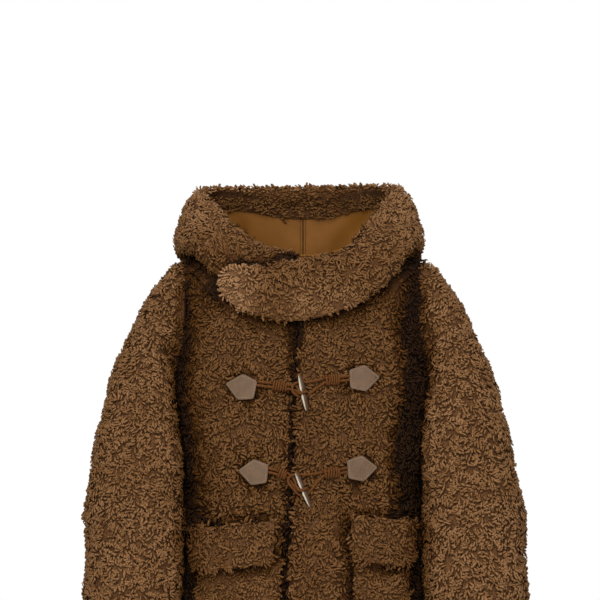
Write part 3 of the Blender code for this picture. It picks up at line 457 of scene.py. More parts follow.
def shut_in(at, normals):
    """How much of the way out of each place another panel closes, from 0 to 1."""
    shares = np.zeros(len(at))
    for k, (place, normal) in enumerate(zip(at, normals)):
        normal = Vector(normal)
        first = normal.orthogonal().normalized()
        second = normal.cross(first)
        for a, b, reach, weight in SHADE_RAYS:
            way = (normal + first * a + second * b).normalized()
            hit = covers.ray_cast(Vector(place) + normal * 0.001 + way * 0.002, way, reach)
            if hit[0] is not None:
                shares[k] += weight * (1 - hit[3] / reach)
    return shares


TAB_HEART = (-0.106, -0.150, -0.076)  # the curls on the throat tab's end lie away from here
# a shadow is painted on the hood's right half under the throat tab's upper edge
TAB_TOP = (  # the throat tab's upper edge, as x and z
    (-0.132, -0.048), (-0.120, -0.042), (-0.056, -0.042), (-0.046, -0.036), (-0.020, -0.033), (0.0, -0.032)
)
# the painted shadow in the hollow beside the tab's end is centred here
TAB_POCKET = (-0.138, -0.086)  # x and z of the hollow beside the tab's end
# the slit at the top of the closure carries painted shade
SLIT_X = -0.0078  # where the pile parts at the top of the closure
CLOSURE_EDGE = (  # the lapping front's edge, as z and x
    (-0.560, -0.0220), (-0.464, -0.0176), (-0.420, -0.0140), (-0.245, -0.0095), (-0.173, -0.0050)
)
CLOSURE_TOP = -0.165  # above it the pile parts, and below it the curls lean over the edge
CLOSURE_LEAN = 2.6  # of the curls beside the closure
# painted shade on the fronts beside the sleeves: how near it reaches and how deep it is
SLEEVE_REACH = 0.056  # the fronts are in the sleeves' shade this near them
SLEEVE_SHADE = {"front_left": 1.30, "front_right": 0.22}
sleeve_trees = {}
for sleeve in ("sleeve_left", "sleeve_right"):
    work = merged_copy(sleeve)
    sleeve_trees[sleeve] = BVHTree.FromBMesh(work)
    work.free()


def beside_closure(places):
    """How far each place is to the wearer's left of the lapping front's edge."""
    return places[:, 0] - np.interp(places[:, 2], *np.array(CLOSURE_EDGE).T)


def front_shade(node, at):
    """Painted shade on a front: in the closure's slit and along its edge, in the hollow by the throat tab
    and beside its sleeve.
    """
    x, z = at[:, 0], at[:, 2]
    # painted shade in the slit at the closure's top
    front_painted_shade = 0.90 * ease(np.abs(x - SLIT_X), 0.0062, 0.002) * ease(z, -0.190, -0.160)
    beside, down = beside_closure(at), ease(z, -0.150, -0.172)
    tree = sleeve_trees[node.replace("front", "sleeve")]
    gap = np.array([tree.find_nearest(Vector(place))[3] for place in at])
    near = np.clip(1.2 - gap / SLEEVE_REACH, 0, 1)
    if node == "front_right":
        # a painted shadow in the hollow beside the tab's end, and painted shade along the closure
        front_painted_shade += 0.35 * ease(np.hypot(x - TAB_POCKET[0], z - TAB_POCKET[1]), 0.030, 0.010)
        front_painted_shade += 0.90 * ease(np.abs(beside + 0.002), 0.0075, 0.0025) * down
    else:
        # painted shade on the lapping front's edge, and less of the sleeve's painted shade high up
        front_painted_shade += 0.40 * ease(beside, 0.0030, -0.0005) * down
        near *= 0.45 + 0.55 * ease(z, -0.08, -0.19)
    return front_painted_shade + SLEEVE_SHADE[node] * near**1.3


def hood_shade(node, at):
    """Painted light and shade on a half of the hood: darker below, paler on its crest, its lower front and
    the throat tab's end, and a painted shadow under the tab's upper edge.
    """
    x, y, z = at.T
    hood_painted_light = -0.08 * ease(z, 0.01, -0.045) * ease(y, 0.0, -0.04)
    hood_painted_light += 0.05 * ease(z, 0.050, 0.082) + 0.03 * ease(z, 0.01, 0.04) * ease(np.abs(x), 0.11, 0.15)
    if node == "hood_left":
        hood_painted_light += 0.18 * ease(x, -0.05, -0.11) * ease(y, -0.04, -0.08)
        hood_painted_light += 0.08 * ease(z, -0.05, -0.09) * ease(np.abs(x - 0.04), 0.08, 0.04)
    else:
        hood_painted_light -= 0.05 * ease(z, 0.03, 0.0) * ease(y, -0.02, -0.06)
        above = z - np.interp(x, *np.array(TAB_TOP).T)
        hood_painted_light -= 0.34 * ease(np.abs(above - 0.001), 0.011, 0.003) * (y < 0) * ease(x, -0.135, -0.118)
    return hood_painted_light


def broad_shade(node, at, out):
    """The smooth part of the pile's painted shade: darker in folds, seams and under the arms, with painted
    light and shade on the hood and fronts.
    """
    # painted shade where other panels close in over the pile
    shade = 0.5 - shut_in(at, out)
    if node in ("hood_left", "hood_right"):
        shade += hood_shade(node, at)
    if node.startswith("front"):
        shade -= front_shade(node, at)
    return shade


def carry_shade(made, values):
    """Give a piece its own painted shade at each point, for its material."""
    shade = made.data.attributes.new("shade", "FLOAT", "POINT")
    shade.data.foreach_set("value", values.astype(np.float32))


PILE_FACES = 0.0  # the least share of a face's way that is away from the hide, where the undercoat is
LOCK_FACES = -0.15  # and where locks grow
FACING_EDGE = -0.75  # the hood facing's faces that look further down than this carry no locks
FRONT_EDGE = -0.80  # nor do the lapping front's that look further to the right, this near its edge
FRONT_EDGE_WIDTH = 0.008


def leaning(node, at, lean):
    """The lean of each lock: its panel's, away from the tab's heart, and to both sides of the closure."""
    ways = np.array(lean) + np.zeros_like(at)
    if node == "hood_left":
        spread = at - np.array(TAB_HEART)
        near = (at[:, 1] < -0.05)[:, None] * ease(np.linalg.norm(spread, axis=1), 0.055, 0.03)[:, None]
        ways += spread / 0.02 * near
    if node.startswith("front"):
        apart = np.where(at[:, 2] < CLOSURE_TOP, -0.4, 1.0) if node == "front_left" else -1.0
        ways[:, 0] += apart * CLOSURE_LEAN * ease(np.abs(beside_closure(at)), 0.018, 0.007)
    return ways


def furred(node, kind, flat, cut_area, spacing, panel_painted_light, lean):
    """A panel: its hide, which is suede on the inside, and the fur that stands in it."""
    work = merged_copy(node)
    points, faces = arrays_of(work)
    tree = BVHTree.FromBMesh(work)
    work.free()
    centres, normals, areas = face_facts(points, faces)
    share = fur_share(kind, points, centres, normals)
    if node.startswith("front"):
        share = np.where(normals[:, 1] < -0.3, np.maximum(share, 0.5), share)
    deep = np.full(len(faces), WALL_AT_MOST)
    for k, (centre, normal) in enumerate(zip(centres, normals)):
        way = -Vector(normal)
        hit = tree.ray_cast(Vector(centre) + way * 0.0002, way, WALL_AT_MOST)
        if hit[0] is not None:
            deep[k] = hit[3]
    broad = deep < WALL_AT_MOST
    seam = at_neckline(kind, centres)
    pile = uncovered(centres, normals) if kind == "all" else (share > PILE_FACES) & broad
    pile &= ~seam
    side_normals, on_pile = point_normals(points, faces, normals, areas, pile)
    depth = np.full(len(points), UNDERCOAT_DEPTH)
    for k in range(3):
        np.minimum.at(depth, faces[pile, k], deep[pile] * UNDERCOAT_SHARE)
    inside = points - side_normals * (depth * on_pile)[:, None]
    furry = pile | ~broad & ~seam if kind != "all" else pile
    if kind in ("body", "sleeve"):
        furry |= (on_pile[faces] > 0).any(axis=1) & ~seam
    if node.startswith("pocket"):
        furry |= normals[:, 1] < 0.3
    hide = mesh_piece(node + "_hide", inside, faces, [undercoat, suede], slots=~furry)
    hide.data.set_sharp_from_angle(angle=math.radians(50))
    # the hide's undercoat carries the pile's painted shade
    carry_shade(hide, broad_shade(node, points, side_normals).clip(0, 1))

    open_side = (share > LOCK_FACES) & ~seam
    grown, _ = point_normals(points, faces, normals, areas, open_side)
    face, shares, at = scattered(points, faces, areas, open_side, spacing)
    clear = uncovered(at, normals[face])
    if node.startswith("hood_facing"):
        clear &= normals[face][:, 2] > FACING_EDGE
    if node == "front_left":
        turned_in = (beside_closure(at) < FRONT_EDGE_WIDTH) & (normals[face][:, 0] < FRONT_EDGE)
        clear &= ~((at[:, 2] < CLOSURE_TOP) & turned_in)
    face, shares, at = face[clear], shares[clear], at[clear]
    out = unit((grown[faces[face]] * shares[:, :, None]).sum(axis=1))
    # each lock's painted light and shade: the broad part, and its panel's own painted light or shade
    shade = broad_shade(node, at, out) + panel_painted_light
    lump = noise_at(at, LUMP_SCALE, 12)
    # painted light on the raised tufts and painted shade between them, with tone that differs at random
    shade += SHADE_SWELL * noise_at(at, SHADE_SCALE, 4) + LUMP_SHADE * lump
    shade += rng.normal(0, SHADE_SPREAD, len(at))
    comb = comb_of(at, out, leaning(node, at, lean))
    roots = at - out * (ROOT_DEPTH - LUMP_HEIGHT * lump.clip(*LUMP_RANGE))[:, None]
    pile_piece = locks(node + "_fur", roots, out, comb, shade.clip(*MAP_RANGE))
    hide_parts(node)


# ---- finishes
# the darker root is painted shade deep in the pile
FUR_COLOURS = (  # of a lock, from its root to its tip
    (0.0, (0.134, 0.060, 0.0190)),
    (0.30, (0.159, 0.0745, 0.0250)),
    (0.70, (0.176, 0.086, 0.0307)),
    (1.0, (0.191, 0.098, 0.0378)),
)
# the undercoat's dark colours are painted shade deep in the pile
FLEECE_COLOURS = ((0.36, (0.070, 0.031, 0.0102)), (0.60, (0.16, 0.073, 0.027)))
HORN_COLOURS = (  # from a toggle's left side to its right
    (0.0, (0.55, 0.47, 0.35)),
    (0.25, (0.66, 0.62, 0.50)),
    (0.31, (0.36, 0.25, 0.15)),
    (0.37, (0.085, 0.048, 0.028)),
    (1.0, (0.050, 0.030, 0.020)),
)
SHADE_DOUBLINGS = 5  # of brightness, over the pile map's height
DEPTHS_BELOW = 0.22  # a shade under this loses light faster, until this share of it is left
DEPTHS_LEFT = 0.46
RICHNESS = (1.30, 0.74)  # of colour, in the deepest shade and at the brightest
HUES = (0.489, 0.506)  # a half leaves the hue alone; less is redder


def put(tree, value, slot):
    """Link a socket into an input, or set the input's own value."""
    if isinstance(value, bpy.types.NodeSocket):
        tree.links.new(value, slot)
    else:
        slot.default_value = value


def wired(tree, kind, out, sockets=None, **settings):
    """A new node with its settings and inputs: one of its outputs, or all where none is named."""
    made = tree.nodes.new("ShaderNode" + kind)
    for name, value in settings.items():
        setattr(made, name, value)
    for name, value in (sockets or {}).items():
        put(tree, value, made.inputs[name])
    return made.outputs if out is None else made.outputs[out]


def colour_ramp(tree, value, stops):
    """The colour that a value socket meets on the way through the stops."""
    made = tree.nodes.new("ShaderNodeValToRGB")
    elements = made.color_ramp.elements
    while len(elements) < len(stops):
        elements.new(0.5)
    for element, (share, colour) in zip(elements, stops):
        element.position = share
        element.color = (*colour, 1)
    put(tree, value, made.inputs["Fac"])
    return made.outputs["Color"]


def bumped(tree, shader, height, distance, strength=1.0):
    """Fine relief on a shader, from a height socket."""
    relief = {"Height": height, "Distance": distance, "Strength": strength}
    put(tree, wired(tree, "Bump", "Normal", relief), shader["Normal"])


def node_group(name, inputs, outputs):
    """A shared group, what comes into it and what goes out of it. None stands for a colour."""
    group = bpy.data.node_groups.new(name, "ShaderNodeTree")
    for way, sockets in (("INPUT", inputs), ("OUTPUT", outputs)):
        for label, value in sockets.items():
            kind = "NodeSocketColor" if value is None else "NodeSocketFloat"
            socket = group.interface.new_socket(name=label, in_out=way, socket_type=kind)
            if value is not None:
                socket.default_value = value
    return group, group.nodes.new("NodeGroupInput").outputs, group.nodes.new("NodeGroupOutput").inputs


def mottle_group():
    """Uneven dye and a fine grain: two colours mixed by broad noise, and a height."""
    inputs = {"Light": None, "Dark": None, "Patches": 20.0, "Grain": 900.0}
    tree, given, results = node_group("mottle", inputs, {"Color": None, "Height": 0.0})
    place = wired(tree, "TexCoord", "Object")
    broad = wired(tree, "TexNoise", "Fac", {"Vector": place, "Scale": given["Patches"], "Detail": 5.0})
    fine = wired(tree, "TexNoise", "Fac", {"Vector": place, "Scale": given["Grain"], "Detail": 3.0})
    both = wired(tree, "Math", 0, {0: fine, 1: 0.35, 2: broad}, operation="MULTIPLY_ADD")
    share = wired(tree, "MapRange", "Result", {"Value": both, "From Min": 0.45, "From Max": 0.90})
    colours = {"Factor": share, "A": given["Dark"], "B": given["Light"]}
    put(tree, wired(tree, "Mix", "Result", colours, data_type="RGBA"), results["Color"])
    put(tree, fine, results["Height"])
    return tree


def strength_group():
    """How bright the pile is at its shade, painted light and shade with some tone that differs at random:
    plain at a half, then so many doublings, and near 0 less.
    """
    tree, given, results = node_group("strength", {"Shade": 0.5}, {"Strength": 0.0})
    shade, rate = given["Shade"], SHADE_DOUBLINGS * math.log(2)
    power = wired(tree, "Math", 0, {0: shade, 1: rate, 2: -rate / 2}, operation="MULTIPLY_ADD")
    depths = {"Value": shade, "From Max": DEPTHS_BELOW, "To Min": DEPTHS_LEFT}
    both = {
        0: wired(tree, "Math", 0, {0: power}, operation="EXPONENT"),
        1: wired(tree, "MapRange", "Result", depths),
    }
    put(tree, wired(tree, "Math", 0, both, operation="MULTIPLY"), results["Strength"])
    return tree


def plain_material(name, roughness, shine=0.5):
    """A material, its tree and its shader's inputs."""
    made = bpy.data.materials.new(name)
    made.use_nodes = True
    shader = made.node_tree.nodes["Principled BSDF"].inputs
    shader["Roughness"].default_value = roughness
    shader["Specular IOR Level"].default_value = shine
    return made, made.node_tree, shader


def mottled_material(name, light, dark, sizes, roughness, bump, shine=0.15, shaded=False):
    """A material whose colour and bump come from the mottle group, with the piece's painted shade where it
    is shaded.
    """
    made, tree, shader = plain_material(name, roughness, shine)
    given = {"Light": (*light, 1), "Dark": (*dark, 1), "Patches": sizes[0], "Grain": sizes[1]}
    mottle = wired(tree, "Group", None, given, node_tree=mottle_tree)
    colour = mottle["Color"]
    if shaded:
        colour = shade_by_attribute(tree, colour)
    put(tree, colour, shader["Base Color"])
    bumped(tree, shader, mottle["Height"], 0.001, bump)
    return made


def strength_of(tree, shade):
    """How bright a shade socket is, by the strength group."""
    return wired(tree, "Group", "Strength", {"Shade": shade}, node_tree=strength_tree)


def shaded_colour(tree, colour, shade, factor):
    """A colour socket times a value socket, more saturated the deeper the shade."""
    scaled = wired(tree, "VectorMath", "Vector", {0: colour, "Scale": factor}, operation="SCALE")
    hue = {"Value": shade, "To Min": HUES[0], "To Max": HUES[1]}
    rich = {"Value": shade, "To Min": RICHNESS[0], "To Max": RICHNESS[1]}
    tinted = {
        "Color": scaled,
        "Hue": wired(tree, "MapRange", "Result", hue),
        "Saturation": wired(tree, "MapRange", "Result", rich),
    }
    return wired(tree, "HueSaturation", "Color", tinted)


def shade_by_attribute(tree, colour):
    """A colour socket with the piece's own painted shade, which it carries as an attribute."""
    shade = wired(tree, "Attribute", "Fac", attribute_name="shade")
    return shaded_colour(tree, colour, shade, strength_of(tree, shade))


def fur_material():
    """Locks: dark at the root, which is painted shade deep in the pile, pale at the tip, streaked along,
    each a little lighter or darker.

    The pile map's u runs along a lock, and its v is the lock's shade, painted light and shade with some tone
    that differs at random: a half is plain.
    """
    made, tree, shader = plain_material("curly_fur", 0.72, 0.14)
    place = wired(tree, "UVMap", "UV", uv_map="pile")
    parts = wired(tree, "SeparateXYZ", None, {"Vector": place})
    colour, shade = colour_ramp(tree, parts["X"], FUR_COLOURS), parts["Y"]
    stretch = {"Vector": place, "Scale": (2.2, 1 / (SHADE_HEIGHT * 0.9), 1)}
    stretched = wired(tree, "Mapping", "Vector", stretch)
    streak = wired(tree, "TexNoise", "Fac", {"Vector": stretched, "Scale": 1.0, "Detail": 1.0})
    strands = {"Value": streak, "From Min": 0.3, "From Max": 0.7, "To Min": 0.88, "To Max": 1.12}
    both = {0: strength_of(tree, shade), 1: wired(tree, "MapRange", "Result", strands)}
    factor = wired(tree, "Math", 0, both, operation="MULTIPLY")
    put(tree, shaded_colour(tree, colour, shade, factor), shader["Base Color"])
    return made


def fleece_material():
    """The close curls under the locks: crooked pale ridges with dark gaps, as colour and bump; its dark
    colour is painted shade deep in the pile.
    """
    made, tree, shader = plain_material("fur_undercoat", 0.9, 0.2)
    curled = {"Vector": wired(tree, "TexCoord", "Object"), "Scale": 150.0, "Detail": 3.0, "Distortion": 2.2}
    curls = wired(tree, "TexNoise", "Fac", curled)
    colour = colour_ramp(tree, curls, FLEECE_COLOURS)
    put(tree, shade_by_attribute(tree, colour), shader["Base Color"])
    bumped(tree, shader, curls, 0.004)
    return made


def horn_material():
    """Polished horn: a cream stripe down the left of each toggle, and streaked dark brown beside it."""
    made, tree, shader = plain_material("pale_and_dark_horn", 0.30, 0.12)
    shader["Coat Weight"].default_value = 0.05
    shader["Coat Roughness"].default_value = 0.12
    place = wired(tree, "Attribute", "Vector", attribute_name="grain")
    across = wired(tree, "SeparateXYZ", "X", {"Vector": place})
    stretched = wired(tree, "Mapping", "Vector", {"Vector": place, "Scale": (5.0, 1.2, 1.0)})
    streak = wired(tree, "TexNoise", "Fac", {"Vector": stretched, "Scale": 2.0, "Detail": 5.0})
    wander = wired(tree, "Math", 0, {0: streak, 1: 0.6, 2: across}, operation="MULTIPLY_ADD")
    share = wired(tree, "MapRange", "Result", {"Value": wander, "From Min": -0.7, "From Max": 1.6})
    put(tree, colour_ramp(tree, share, HORN_COLOURS), shader["Base Color"])
    bumped(tree, shader, streak, 0.0003, 0.25)
    return made


mottle_tree = mottle_group()
strength_tree = strength_group()
fur = fur_material()
undercoat = fleece_material()
horn = horn_material()
# Mottled finishes: name, light and dark colour, scales of the patches and the grain, roughness, bump
suede = mottled_material("ochre_suede", (0.255, 0.106, 0.019), (0.175, 0.068, 0.011), (18, 1400), 0.85, 0.25)
# the lining's suede takes the painted shade that its piece carries
lining_suede = mottled_material(
    "lining_suede", (0.280, 0.125, 0.0310), (0.200, 0.085, 0.0200), (18, 1400), 0.85, 0.25, shaded=True
)
leather = mottled_material(
    "taupe_leather", (0.150, 0.087, 0.046), (0.110, 0.063, 0.034), (70, 2200), 0.55, 0.5, shine=0.3
)
cord = mottled_material("rust_cord", (0.140, 0.050, 0.0105), (0.085, 0.029, 0.006), (300, 2500), 0.8, 0.6)
thread = mottled_material("pale_thread", (0.34, 0.25, 0.17), (0.22, 0.16, 0.11), (200, 3000), 0.6, 0.3)
dark_thread = mottled_material(
    "ochre_thread", (0.075, 0.030, 0.007), (0.050, 0.020, 0.005), (200, 3000), 0.7, 0.3
)

# ---- panels
DOWN = (0.0, 0.0, -0.5)
HOOD_LEAN = (0.0, 0.0, -0.2)
FACING_LEAN = (0.0, 0.0, 1.8)
FRONT = ("body", (0.30, 0.72), 0.19, 0.0034, -0.065, DOWN)
FACING = ("all", (0.066, 0.42), None, 0.0032, -0.06, FACING_LEAN)
# Each panel's form, flat size, cut area where it is less, and its locks' spacing, painted light or shade for
# the whole panel, and lean
PANELS = {
    "front_left": FRONT,
    "front_right": FRONT,
    "back": ("body", (0.56, 0.72), 0.37, 0.0037, 0.0, DOWN),
    "sleeve_left": ("sleeve", (0.50, 0.62), 0.26, 0.0034, 0.06, DOWN),
    "sleeve_right": ("sleeve", (0.50, 0.62), 0.26, 0.0034, 0.045, DOWN),
    "hood_left": ("hood_left", (0.42, 0.50), 0.17, 0.0032, 0.05, HOOD_LEAN),
    "hood_right": ("hood_right", (0.40, 0.42), 0.14, 0.0032, 0.04, HOOD_LEAN),
    "hood_facing_left": FACING,
    "hood_facing_right": FACING,
    "pocket_left": ("all", (0.11, 0.185), None, 0.0033, -0.05, DOWN),
    "pocket_right": ("all", (0.15, 0.185), None, 0.0033, -0.05, DOWN),
    "pocket_flap_left": ("all", (0.115, 0.085), None, 0.0033, -0.05, DOWN),
    "pocket_flap_right": ("all", (0.145, 0.085), None, 0.0033, -0.05, DOWN),
}
for node, facts in PANELS.items():
    furred(node, *facts)


# ---- ropes, stitches and whippings
def places_at(wanted, walked, line):
    """The places on a line at the wanted distances along it."""
    return np.stack([np.interp(wanted, walked, line[:, k]) for k in range(3)], axis=1)


def curve_through(places, spacing):
    """Points at an even spacing on a smooth curve through the places."""
    padded = np.vstack([2 * places[0] - places[1], places, 2 * places[-1] - places[-2]])
    t = (np.arange(16) / 16)[:, None]
    fine = []
    for a, b, c, d in zip(padded, padded[1:], padded[2:], padded[3:]):
        bend = (2 * a - 5 * b + 4 * c - d) * t**2 + (3 * b - a - 3 * c + d) * t**3
        fine.append(0.5 * (2 * b + (c - a) * t + bend))
    fine = np.vstack([*fine, places[-1:]])
    walked = np.concatenate([[0], np.cumsum(np.linalg.norm(np.diff(fine, axis=0), axis=1))])
    wanted = np.linspace(0, walked[-1], max(3, round(walked[-1] / spacing) + 1))
    return places_at(wanted, walked, fine), wanted


GROOVE = 0.10  # between a cord's plies, as a share of its radius
FIRST_SIDE = (0.3, 0.2, 0.93)  # from which a rope's section starts to be carried along


def rope_mesh(places, radius, plies, turn, sides=12, spacing=0.0009, flat=1.0):
    """A twisted cord along the places: its section has a lobe for each ply, turning as it runs."""
    line, walked = curve_through(places, spacing)
    along = unit(np.gradient(line, axis=0))
    side = np.array(FIRST_SIDE)
    angles = 2 * np.pi * np.arange(sides) / sides
    rings = []
    for place, way, gone in zip(line, along, walked):
        side = unit(side - way * (side @ way))
        other = np.cross(way, side)
        if plies:
            size = radius * (1 - GROOVE + GROOVE * np.cos(plies * angles - 2 * np.pi * gone / turn))
        else:
            size = np.full(sides, radius)
        rings.append(
            place + np.outer(size * np.cos(angles) * flat, side) + np.outer(size * np.sin(angles), other)
        )
    points = np.vstack([line[:1], *rings, line[-1:]])
    last = len(points) - 1
    faces = []
    for k in range(sides):
        n = (k + 1) % sides
        faces += [(0, 1 + n, 1 + k), (last, last - sides + k, last - sides + n)]
        for r in range(len(rings) - 1):
            a, b = 1 + r * sides + k, 1 + r * sides + n
            faces += [(a, b, b + sides), (a, b + sides, a + sides)]
    return points, np.array(faces)


STITCH_BOW = (-0.6, 0.45, 0.8, 0.45, -0.6)  # how far it stands out along its length, in radii


def stitches(places, length, gap, radius, out):
    """A row of stitches: short plump threads end to end along the places."""
    line, walked = curve_through(places, 0.0004)
    step = length + gap
    parts = []
    for k in range(int(walked[-1] / step)):
        ends = [k * step + gap / 2 + length * share for share in (0, 0.25, 0.5, 0.75, 1)]
        spots = places_at(ends, walked, line)
        bow = np.array(STITCH_BOW)[:, None] * radius
        parts.append(rope_mesh(spots + np.array(out) * bow, radius, 0, 1, sides=6, spacing=length / 5))
    return joined(parts)


CORDS = {  # routes, in tenths of a millimetre
    "upper_toggle": (
        (-721, -1446, -2309), (-667, -1464, -2317), (-613, -1477, -2324), (-558, -1488, -2330),
        (-502, -1497, -2335), (-446, -1503, -2341), (-390, -1506, -2347), (-333, -1508, -2354),
        (-277, -1511, -2360), (-225, -1532, -2365), (-179, -1564, -2370), (-136, -1600, -2371),
        (-97, -1635, -2389), (-78, -1672, -2428), (-65, -1709, -2468), (-46, -1751, -2501),
        (-5, -1780, -2483), (46, -1762, -2474), (65, -1711, -2474), (35, -1667, -2485), (-19, -1665, -2497),
        (-73, -1660, -2494), (-108, -1636, -2457), (-147, -1598, -2442), (-190, -1563, -2436),
        (-239, -1534, -2428), (-292, -1517, -2421), (-348, -1515, -2415), (-404, -1513, -2409),
        (-461, -1510, -2403), (-517, -1503, -2397), (-572, -1494, -2391), (-627, -1482, -2385),
        (-681, -1468, -2377), (-735, -1452, -2368),
    ),
    "upper_loop": (
        (735, -1434, -2222), (686, -1462, -2229), (638, -1491, -2236), (594, -1526, -2240),
        (548, -1559, -2243), (499, -1587, -2246), (448, -1611, -2249), (396, -1633, -2252),
        (341, -1645, -2260), (286, -1639, -2273), (232, -1630, -2287), (177, -1626, -2300),
        (122, -1623, -2311), (65, -1622, -2318), (9, -1623, -2321), (-47, -1631, -2322),
        (-101, -1646, -2330), (-148, -1666, -2355), (-173, -1675, -2403), (-168, -1673, -2459),
        (-134, -1665, -2503), (-89, -1656, -2535), (-35, -1651, -2552), (21, -1648, -2550),
        (74, -1646, -2528), (119, -1642, -2494), (163, -1641, -2459), (207, -1641, -2424),
        (253, -1644, -2390), (299, -1650, -2357), (347, -1653, -2328), (400, -1641, -2313),
        (452, -1619, -2314), (503, -1594, -2310), (552, -1566, -2307), (598, -1533, -2303),
        (642, -1498, -2299), (690, -1470, -2292), (739, -1442, -2285),
    ),
    "lower_toggle": (
        (-553, -1551, -3697), (-500, -1566, -3708), (-447, -1577, -3721), (-394, -1586, -3736),
        (-341, -1588, -3750), (-286, -1588, -3763), (-236, -1601, -3779), (-202, -1638, -3802),
        (-177, -1679, -3830), (-148, -1710, -3866), (-123, -1731, -3910), (-114, -1745, -3963),
        (-89, -1771, -4006), (-60, -1801, -4042), (-29, -1839, -4048), (18, -1850, -4025),
        (57, -1816, -4010), (55, -1762, -4012), (15, -1732, -4030), (-37, -1736, -4049),
        (-88, -1730, -4038), (-124, -1719, -3997), (-158, -1704, -3956), (-188, -1681, -3915),
        (-213, -1647, -3879), (-243, -1611, -3849), (-287, -1588, -3826), (-341, -1590, -3814),
        (-395, -1588, -3800), (-448, -1580, -3784), (-500, -1567, -3770), (-553, -1553, -3759),
    ),
    "lower_loop": (
        (699, -1522, -3691), (656, -1557, -3701), (615, -1593, -3709), (574, -1630, -3715),
        (528, -1660, -3722), (480, -1687, -3728), (430, -1710, -3735), (378, -1729, -3741),
        (324, -1738, -3750), (271, -1730, -3762), (218, -1717, -3775), (164, -1711, -3784),
        (109, -1707, -3791), (53, -1706, -3795), (-2, -1707, -3797), (-58, -1709, -3795),
        (-113, -1713, -3794), (-167, -1723, -3801), (-213, -1726, -3830), (-239, -1724, -3878),
        (-231, -1725, -3932), (-196, -1731, -3975), (-161, -1728, -4018), (-124, -1722, -4058),
        (-85, -1719, -4097), (-36, -1717, -4123), (19, -1717, -4125), (70, -1716, -4105),
        (109, -1714, -4066), (145, -1714, -4023), (178, -1714, -3979), (212, -1715, -3935),
        (248, -1721, -3893), (285, -1731, -3853), (327, -1738, -3818), (378, -1731, -3798),
        (430, -1711, -3795), (480, -1688, -3791), (528, -1662, -3784), (574, -1632, -3778),
        (616, -1596, -3771), (656, -1559, -3763), (699, -1524, -3753),
    ),
}
CORD_RADIUS = 0.0024
CORD_TURN = 0.0052
PLIES = 2
WHIPPINGS = {  # the x where it starts and ends, and its turns
    "upper_toggle": (-0.0500, -0.0265, 6),
    "upper_loop": (0.0340, 0.0555, 6),
    "lower_toggle": (-0.0405, -0.0255, 4),
    "lower_loop": (0.0320, 0.0555, 6),
}
WHIPPING_HALF_SIZE = (0.0074, 0.0046)
WHIPPING_START = 2.2  # where round the cords the first turn begins, in radians
THREAD_RADIUS = 0.0019
THREAD_TURN = CORD_TURN * 0.8


def strand_through(points, at_x):
    """A strand's places at some x, where it runs across the front."""
    order = np.argsort(points[:, 0])
    some = points[order]
    return np.stack([at_x, *(np.interp(at_x, some[:, 0], some[:, k]) for k in (1, 2))], axis=1)


for name, route in CORDS.items():
    route = np.array(route) / 10000
    made = mesh_piece(f"cord_{name}_twisted", *rope_mesh(route, CORD_RADIUS, PLIES, CORD_TURN), [cord])
    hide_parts(f"cord_{name}")
    start, end, turns = WHIPPINGS[name]
    half = len(route) // 2
    at_x = np.linspace(start, end, 5)
    middle = (strand_through(route[: half - 8], at_x) + strand_through(route[half + 9 :], at_x)) / 2
    line, walked = curve_through(middle, 0.0002)
    steps = np.linspace(0, 1, turns * 16 + 1)
    spots = places_at(steps * walked[-1], walked, line)
    along = unit(np.gradient(spots, axis=0))
    up = unit(np.cross(along, np.array([0.0, -1.0, 0.0])))
    over = unit(np.cross(up, along))
    angle = 2 * np.pi * turns * steps + WHIPPING_START
    wide, deep = WHIPPING_HALF_SIZE
    helix = spots + up * (wide * np.cos(angle))[:, None] + over * (deep * np.sin(angle))[:, None]
    wound = rope_mesh(helix, THREAD_RADIUS, PLIES, THREAD_TURN, sides=8, spacing=0.0011)
    made = mesh_piece(f"whipping_{name}_wound", *wound, [cord])
    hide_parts(f"whipping_{name}")


# ---- toggles
TOGGLE_HALF_WIDTH = 0.0049
TOGGLE_HALF_LENGTH = 0.030


def make_toggle(name, tilt):
    """The turned toggle, smoothed, with its place across and along it for the horn's stripe."""
    work = merged_copy(name)
    bmesh.ops.join_triangles(
        work, faces=work.faces, angle_face_threshold=math.radians(40), angle_shape_threshold=math.radians(60)
    )
    bmesh.ops.recalc_face_normals(work, faces=work.faces)
    mesh = bpy.data.meshes.new(name + "_horn")
    work.to_mesh(mesh)
    work.free()
    made = bpy.data.objects.new(name + "_horn", mesh)
    scene.collection.objects.link(made)
    mesh.shade_smooth()
    rounder = made.modifiers.new("rounder", "SUBSURF")
    rounder.levels = rounder.render_levels = 2
    evaluated = made.evaluated_get(bpy.context.evaluated_depsgraph_get())
    whole = bpy.data.meshes.new_from_object(evaluated)
    made.modifiers.clear()
    made.data = whole
    places = np.array([v.co for v in whole.vertices])
    middle = (places.min(axis=0) + places.max(axis=0)) / 2
    lean = math.radians(tilt)
    across = np.array([math.cos(lean), 0, math.sin(lean)])
    down = np.array([math.sin(lean), 0, -math.cos(lean)])
    grain = np.zeros((len(places), 3), np.float32)
    grain[:, 0] = (places - middle) @ across / TOGGLE_HALF_WIDTH
    grain[:, 1] = (places - middle) @ down / TOGGLE_HALF_LENGTH
    held = whole.attributes.new("grain", "FLOAT_VECTOR", "POINT")
    held.data.foreach_set("vector", grain.ravel())
    whole.materials.clear()
    whole.materials.append(horn)
    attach(made, "root")
    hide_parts(name)


make_toggle("toggle_upper", 12)
make_toggle("toggle_lower", 23)

# ---- leather patches
EDGE_INSET = 0.0030
EDGE_ROUNDING = 0.0008
PATCH_FORWARD = 0.001
PATCH_STITCH = (0.0021, 0.0011, 0.00042)  # length, gap and radius
STITCH_LINE_STEP = 0.002


def in_order(faces):
    """Triangles in one fixed order, each from its lowest point number."""
    turned = np.array([np.roll(face, -face.argmin()) for face in faces])
    return turned[np.lexsort(turned.T)]


